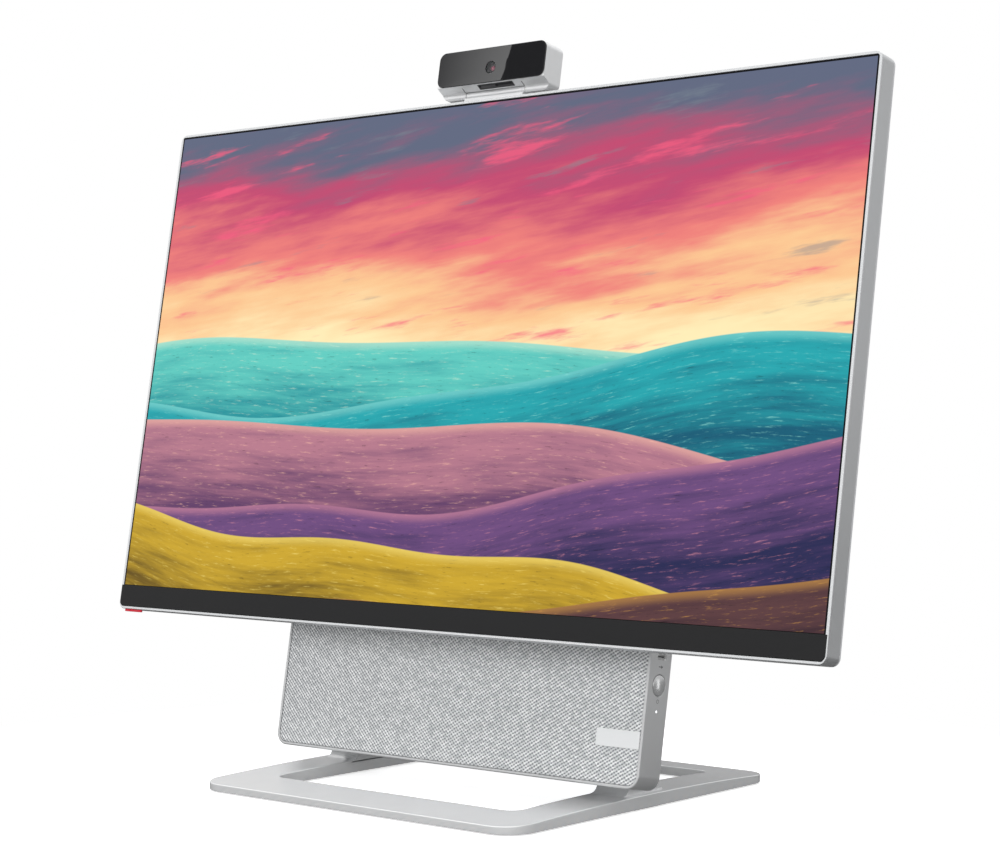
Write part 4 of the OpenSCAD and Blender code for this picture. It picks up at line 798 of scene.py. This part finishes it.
def foot_ring():
    """Closed ring: loops that run from the outer edge over the arched top to the opening's edge and
    back underneath, with small rounded edges."""
    ease = 0.6
    a = np.linspace(0, math.pi / 2, 4)
    rows = []

    def loop(share, grow, low):
        outer = round_loop(FOOT_W + 2 * grow, FOOT_D + 2 * grow, FOOT_R + grow, corner=12, edge=44)
        inner = round_loop(OPEN_W - 2 * grow, OPEN_D - 2 * grow, OPEN_R - grow, 0, OPEN_Y, corner=12, edge=44)
        flat = outer + share * (inner - outer)
        top = foot_top(flat[:, 1])
        z = FOOT_LOW + low if low >= 0 else top + low
        rows.append(np.stack([flat[:, 0], flat[:, 1], np.broadcast_to(z, top.shape)], -1))

    for share, order in ((0, 1), (1, -1)):
        lower = [(ease * (np.sin(t) - 1), ease * (1 - np.cos(t))) for t in a]
        upper = [(ease * (np.cos(t) - 1), ease * (1 - np.sin(t)) + 1e-6) for t in a]
        run = lower + [(g, -h) for g, h in upper]
        for grow, low in run[::order]:
            loop(share, grow, low)
        if share == 0:
            for between in (0.25, 0.5, 0.75):
                loop(between, -ease, -1e-6)
    return np.stack(rows)


foot = Skin().grid(stand(foot_ring()), close_u=True, close_v=True)
piece("ring_foot", foot, FOOT, "base", "silver_metal", "foot_frame")
for side in ("left", "right"):
    eased_copy("foot_bracket_" + side, FOOT, 0.35)

# Camera

rings = rim_rings(CAM_W, CAM_TOP - CAM_LOW, CAM_R, bevelled(CAM_FRONT, CAM_FACE, 0.3, 4),
                  cz=CAM_Z + (CAM_TOP + CAM_LOW) / 2, corner=14, edge=12)
front = pierced(rings, 0.0, LENS_Z, LENS_HOLE)
piece("camera_front", front, GLOSS, "camera_head", "camera_front", "camera_glass")

barrel_profile = [
    (2.9, 0.05), (2.75, 1.0), (2.55, 1.7), (2.5, 2.2), (2.3, 2.6), (2.3, 3.8), (2.5, 4.0), (11.4, 4.0),
]
barrel = Skin().slab(place(lathe_y(barrel_profile, 0.0, LENS_Z, 48)))
piece("camera_barrel", barrel, LENS, "camera_head", "black_plastic", "camera_lens")
iris_profile = [(1.9, 0.02), (1.95, 0.7), (2.15, 1.3), (2.5, 1.7), (2.8, 1.7)]
iris = Skin().slab(place(lathe_y(iris_profile, 0.0, LENS_Z, 48)))
piece("camera_iris", iris, LENS_EYE, "camera_head", "clear_glass")

eased_copy("camera_shell", CAMERA_SILVER, 0.5, 3)

AXIS_Y, AXIS_Z, BARREL_R, TONGUE_HALF = 11.0, 6.6, 3.6, 25.95


def tongue_rings():
    """The tongue's side drawn once and repeated along x: a foot plate with a barrel round the hinge
    axis seated in its top. The ends are drawn a little smaller, for an eased edge."""
    plate, plate_h = 5.2, 4.2
    meet = math.asin((plate_h - AXIS_Z) / BARREL_R)
    a = np.linspace(math.pi - meet, meet, 33)
    arc = np.stack([AXIS_Y + BARREL_R * np.cos(a), AXIS_Z + BARREL_R * np.sin(a)], -1)
    before = [(AXIS_Y - plate, 0), (AXIS_Y - plate, plate_h - 0.3), (AXIS_Y - plate + 0.3, plate_h)]
    after = [(2 * AXIS_Y - y, z) for y, z in before[::-1]]
    side = np.concatenate([before, arc, after])
    mid = np.array([AXIS_Y, AXIS_Z])
    rows = []
    half, edge = TONGUE_HALF, 0.25
    for x, ease in ((-half, edge), (-half + edge, 0), (half - edge, 0), (half, edge)):
        away = side - mid
        drawn = mid + away * (1 - ease / np.linalg.norm(away, axis=1, keepdims=True))
        drawn[:, 1] = np.where(side[:, 1] == 0, 0, drawn[:, 1])
        rows.append(np.column_stack([np.full(len(side), x), drawn[:, 0], CAM_Z + drawn[:, 1]]))
    return np.stack(rows)


tongue = Skin().slab(place(tongue_rings()))
tongue.slab(place(rim_rings(18.4, 1.6, 0.3, bevelled(10.0, 12.0, 0.2), cz=CAM_Z - 0.5)))
piece("camera_foot", tongue, CAMERA_SILVER, "camera_stand", "silver_metal", "camera_tongue", sharp=30)


SLOT_X, SLOPE_RUN, SLOPE_DROP = 3.5, 6.0, 3.0


def on_slope(x, y, out):
    """Point on the sloping underside of the camera's front at the depth y, standing out from it."""
    z = CAM_Z + CAM_LOW - (y - CAM_FACE) * SLOPE_DROP / SLOPE_RUN
    size = math.hypot(SLOPE_RUN, SLOPE_DROP)
    return np.stack([x, y - out * SLOPE_DROP / size, z - out * SLOPE_RUN / size], -1)


wide = round_loop(31.0, 4.2, 0.3, SLOT_X, 3.7, corner=4)
tight = round_loop(29.7, 2.04, 0.3, SLOT_X, 3.7, corner=4)
top = np.stack([tight[:, 0], tight[:, 1], np.full(len(tight), CAM_Z + 12.6)], -1)
liner_rows = np.stack([on_slope(*wide.T, -0.3), on_slope(*wide.T, 0.1), on_slope(*tight.T, 0.1), top])
liner = Skin().grid(place(liner_rows), close_u=True, close_v=True)
liner.slab(place(rim_rings(33.0, 0.5, 0.1, bevelled(2.4, 8.6, 0.05), cx=SLOT_X, cz=CAM_Z + 14.8)))
piece("shutter_slot_liner", liner, BLACK, "camera_head", "black_plastic")
eased_copy("shutter_slider", BLACK, 0.15)

# Black strips along the slits between the camera's tongue and the head's sides: painted shade of the slits
slit_shade_strips = Skin()
for x in (-26.3, 26.3):
    across = x + np.array([-0.3, 0.3, 0.3, -0.3])
    along = np.array([2.9, 2.9, 6.7, 6.7])
    slit_shade_strips.slab(place(np.stack([on_slope(across, along, out) for out in (-0.3, 0.03)])))
piece("camera_slit_shade_strips", slit_shade_strips, BLACK, "camera_head", "black_plastic", weighted=False)

# Pieces that keep the node's shape

for node, material, bevel in (
    ("front_cover", SATIN, 0.3),
    ("rear_box", COVER, 0.25),
    ("pivot_hub", SATIN, 0.4),
    ("tilt_plate", STEEL, 0.3),
    ("hinge_base", STEEL, 0.3),
    ("shaft_collars", STEEL, 0.3),
    ("foot_pads", RUBBER, 0.2),
    ("power_inlet", SOCKET, 0.15),
    ("network_port", STEEL, 0.15),
    ("video_port", STEEL, 0.12),
    ("data_ports", STEEL, 0.12),
):
    eased_copy(node, material, bevel)

plain = {
    BLACK: ("speaker_grille", "speaker_left", "speaker_right", "fan_housing", "fan_rotor", "camera_dock"),
    STEEL: ("foot_screws", "base_chassis", "box_screws", "hinge_screws", "tilt_shaft", "pivot_pin",
            "hub_screws", "frame_screws", "camera_hinge_pin"),
    SHEET: ("display_chassis", "heatsink"),
    BOARD: ("mainboard", "memory_modules", "solid_state_drive", "button_board", "driver_board",
            "camera_board"),
    GOLD: ("dock_contacts",),
    NATURAL: ("pivot_washer",),
    CHIN: ("panel_module",),
    CLEAR: ("camera_window",),
}
for material, nodes in plain.items():
    for node in nodes:
        held = frame["nodes"][node].data.materials
        held.clear()
        held.append(material)

# Studio

FAR = 6.0
floor_corners = [(-FAR, -FAR, 0.0), (FAR, -FAR, 0.0), (FAR, FAR, 0.0), (-FAR, FAR, 0.0)]
floor_mesh = bpy.data.meshes.new("studio_floor")
floor_mesh.from_pydata(floor_corners, [], [[0, 1, 2, 3]])
floor = bpy.data.objects.new("studio_floor", floor_mesh)
scene.collection.objects.link(floor)

# The camera sees a floor with soft shadows near the part and plain white further out. Reflections see
# a dark floor, and other rays a grey one.
floor_paint, floor_bsdf, w = shader("floor_paint")
floor_bsdf.inputs["Base Color"].default_value = (0.8, 0.8, 0.8, 1)
floor_bsdf.inputs["Roughness"].default_value = 0.9
floor_bsdf.inputs["Specular IOR Level"].default_value = 0.0
rays = floor_paint.node_tree.nodes.new("ShaderNodeLightPath").outputs
lift = w.node("ShaderNodeEmission", (1, 1, 1, 1), 0.66)
near = w.node("ShaderNodeAddShader", floor_bsdf.outputs[0], lift)
reach = w.node("ShaderNodeVectorMath", w.node("ShaderNodeTexCoord", out=3), operation="LENGTH", out=1)
plain_white = w.node("ShaderNodeEmission", (1, 1, 1, 1), 1.0)
far = w.node("ShaderNodeMixShader", w.ease(reach, 0.2, 0.5), near, plain_white)
shade = w.node("ShaderNodeEmission", (1, 1, 1, 1), 0.16)
bounce = w.node("ShaderNodeBsdfDiffuse", (0.45, 0.45, 0.45, 1))
dull = w.node("ShaderNodeMixShader", rays["Is Glossy Ray"], bounce, shade)
both = w.node("ShaderNodeMixShader", rays["Is Camera Ray"], dull, far)
w.feed(floor_paint.node_tree.nodes["Material Output"].inputs["Surface"], both)
floor_mesh.materials.append(floor_paint)

# The surroundings are white to the camera and in reflections, and dimmer as a light
world = bpy.data.worlds.new("studio_white")
scene.world = world
world.use_nodes = True
w = Wires(world.node_tree)
world.node_tree.nodes.clear()
rays = world.node_tree.nodes.new("ShaderNodeLightPath").outputs
mirrored = w.math("MAXIMUM", rays["Is Glossy Ray"], rays["Is Transmission Ray"])
seen = w.math("MAXIMUM", rays["Is Camera Ray"], mirrored)
white = w.node("ShaderNodeBackground", (1, 1, 1, 1), 1.0)
dim = w.node("ShaderNodeBackground", (0.97, 0.98, 1, 1), 0.5)
shown = world.node_tree.nodes.new("ShaderNodeOutputWorld").inputs["Surface"]
w.feed(shown, w.node("ShaderNodeMixShader", seen, dim, white))


def soft_lamp(name, spot, aim, size, power):
    """Square area lamp at spot, turned towards aim."""
    made = bpy.data.objects.new(name, bpy.data.lights.new(name, "AREA"))
    made.data.size = size
    made.data.energy = power
    made.visible_glossy = False
    made.location = spot
    away = np.array(spot) - np.array(aim)
    turn = math.atan2(away[0], -away[1])
    made.rotation_euler = (math.acos(away[2] / np.linalg.norm(away)), 0, turn)
    scene.collection.objects.link(made)


soft_lamp("key_lamp", (1.75, -1.8, 0.75), (0, 0, 0.2), 1.4, 36)
soft_lamp("front_left_lamp", (-0.7, -2.1, 0.9), (0, 0, 0.2), 1.2, 16)
soft_lamp("top_lamp", (0.0, -0.45, 2.6), (0, -0.1, 0.0), 1.2, 44)
soft_lamp("rear_lamp", (-0.7, 2.3, 1.3), (0, 0.1, 0.2), 1.4, 14)


def upright(a, b, low, high):
    """Corners of an upright card over the line from a to b, between two heights."""
    return [(*a, low), (*b, low), (*b, high), (*a, high)]


def grey_card(name, corners, shade):
    """Studio card that only reflections see."""
    mesh = bpy.data.meshes.new(name)
    mesh.from_pydata(corners, [], [[0, 1, 2, 3]])
    card = bpy.data.objects.new(name, mesh)
    scene.collection.objects.link(card)
    card.visible_camera = card.visible_diffuse = card.visible_shadow = card.visible_transmission = False
    paint, bsdf, _ = shader(name)
    bsdf.inputs["Base Color"].default_value = (0, 0, 0, 1)
    bsdf.inputs["Specular IOR Level"].default_value = 0.0
    bsdf.inputs["Emission Color"].default_value = (shade, shade, shade, 1)
    bsdf.inputs["Emission Strength"].default_value = 1.0
    mesh.materials.append(paint)
    return card


grey_card("right_card", upright((2.0, -0.6), (1.2, 3.0), 0.0, 2.4), 0.56)
rear_card = grey_card("rear_left_card", upright((-2.6, 0.6), (0.0, 2.8), 0.0, 1.2), 1.0)
slanted = [(-1.5212, -1.6, 1.37), (-1.30, -1.6, 1.37), (-1.30, -1.6, 1.61), (-1.5409, -1.6, 1.61)]
grey_card("black_card", slanted, 0.0)
bright_card = grey_card("bright_card", upright((-1.85, -1.61), (-1.40, -1.61), 1.33, 1.65), 1.0)
# Two of the cards change along x: from and to, and the strengths there
for card, fade in ((bright_card, (-1.78, -1.5, 0.3, 2.6)), (rear_card, (-1.75, -1.2, 0.6, 0.28))):
    w = Wires(card.data.materials[0].node_tree)
    run = w.split(w.node("ShaderNodeTexCoord", out=3))[0]
    w.feed(w.tree.nodes["Principled BSDF"].inputs["Emission Strength"], w.ease(run, *fade))
grey_card("button_card", upright((0.456, 0.302), (0.436, 0.322), 0.0, 0.085), 2.4)
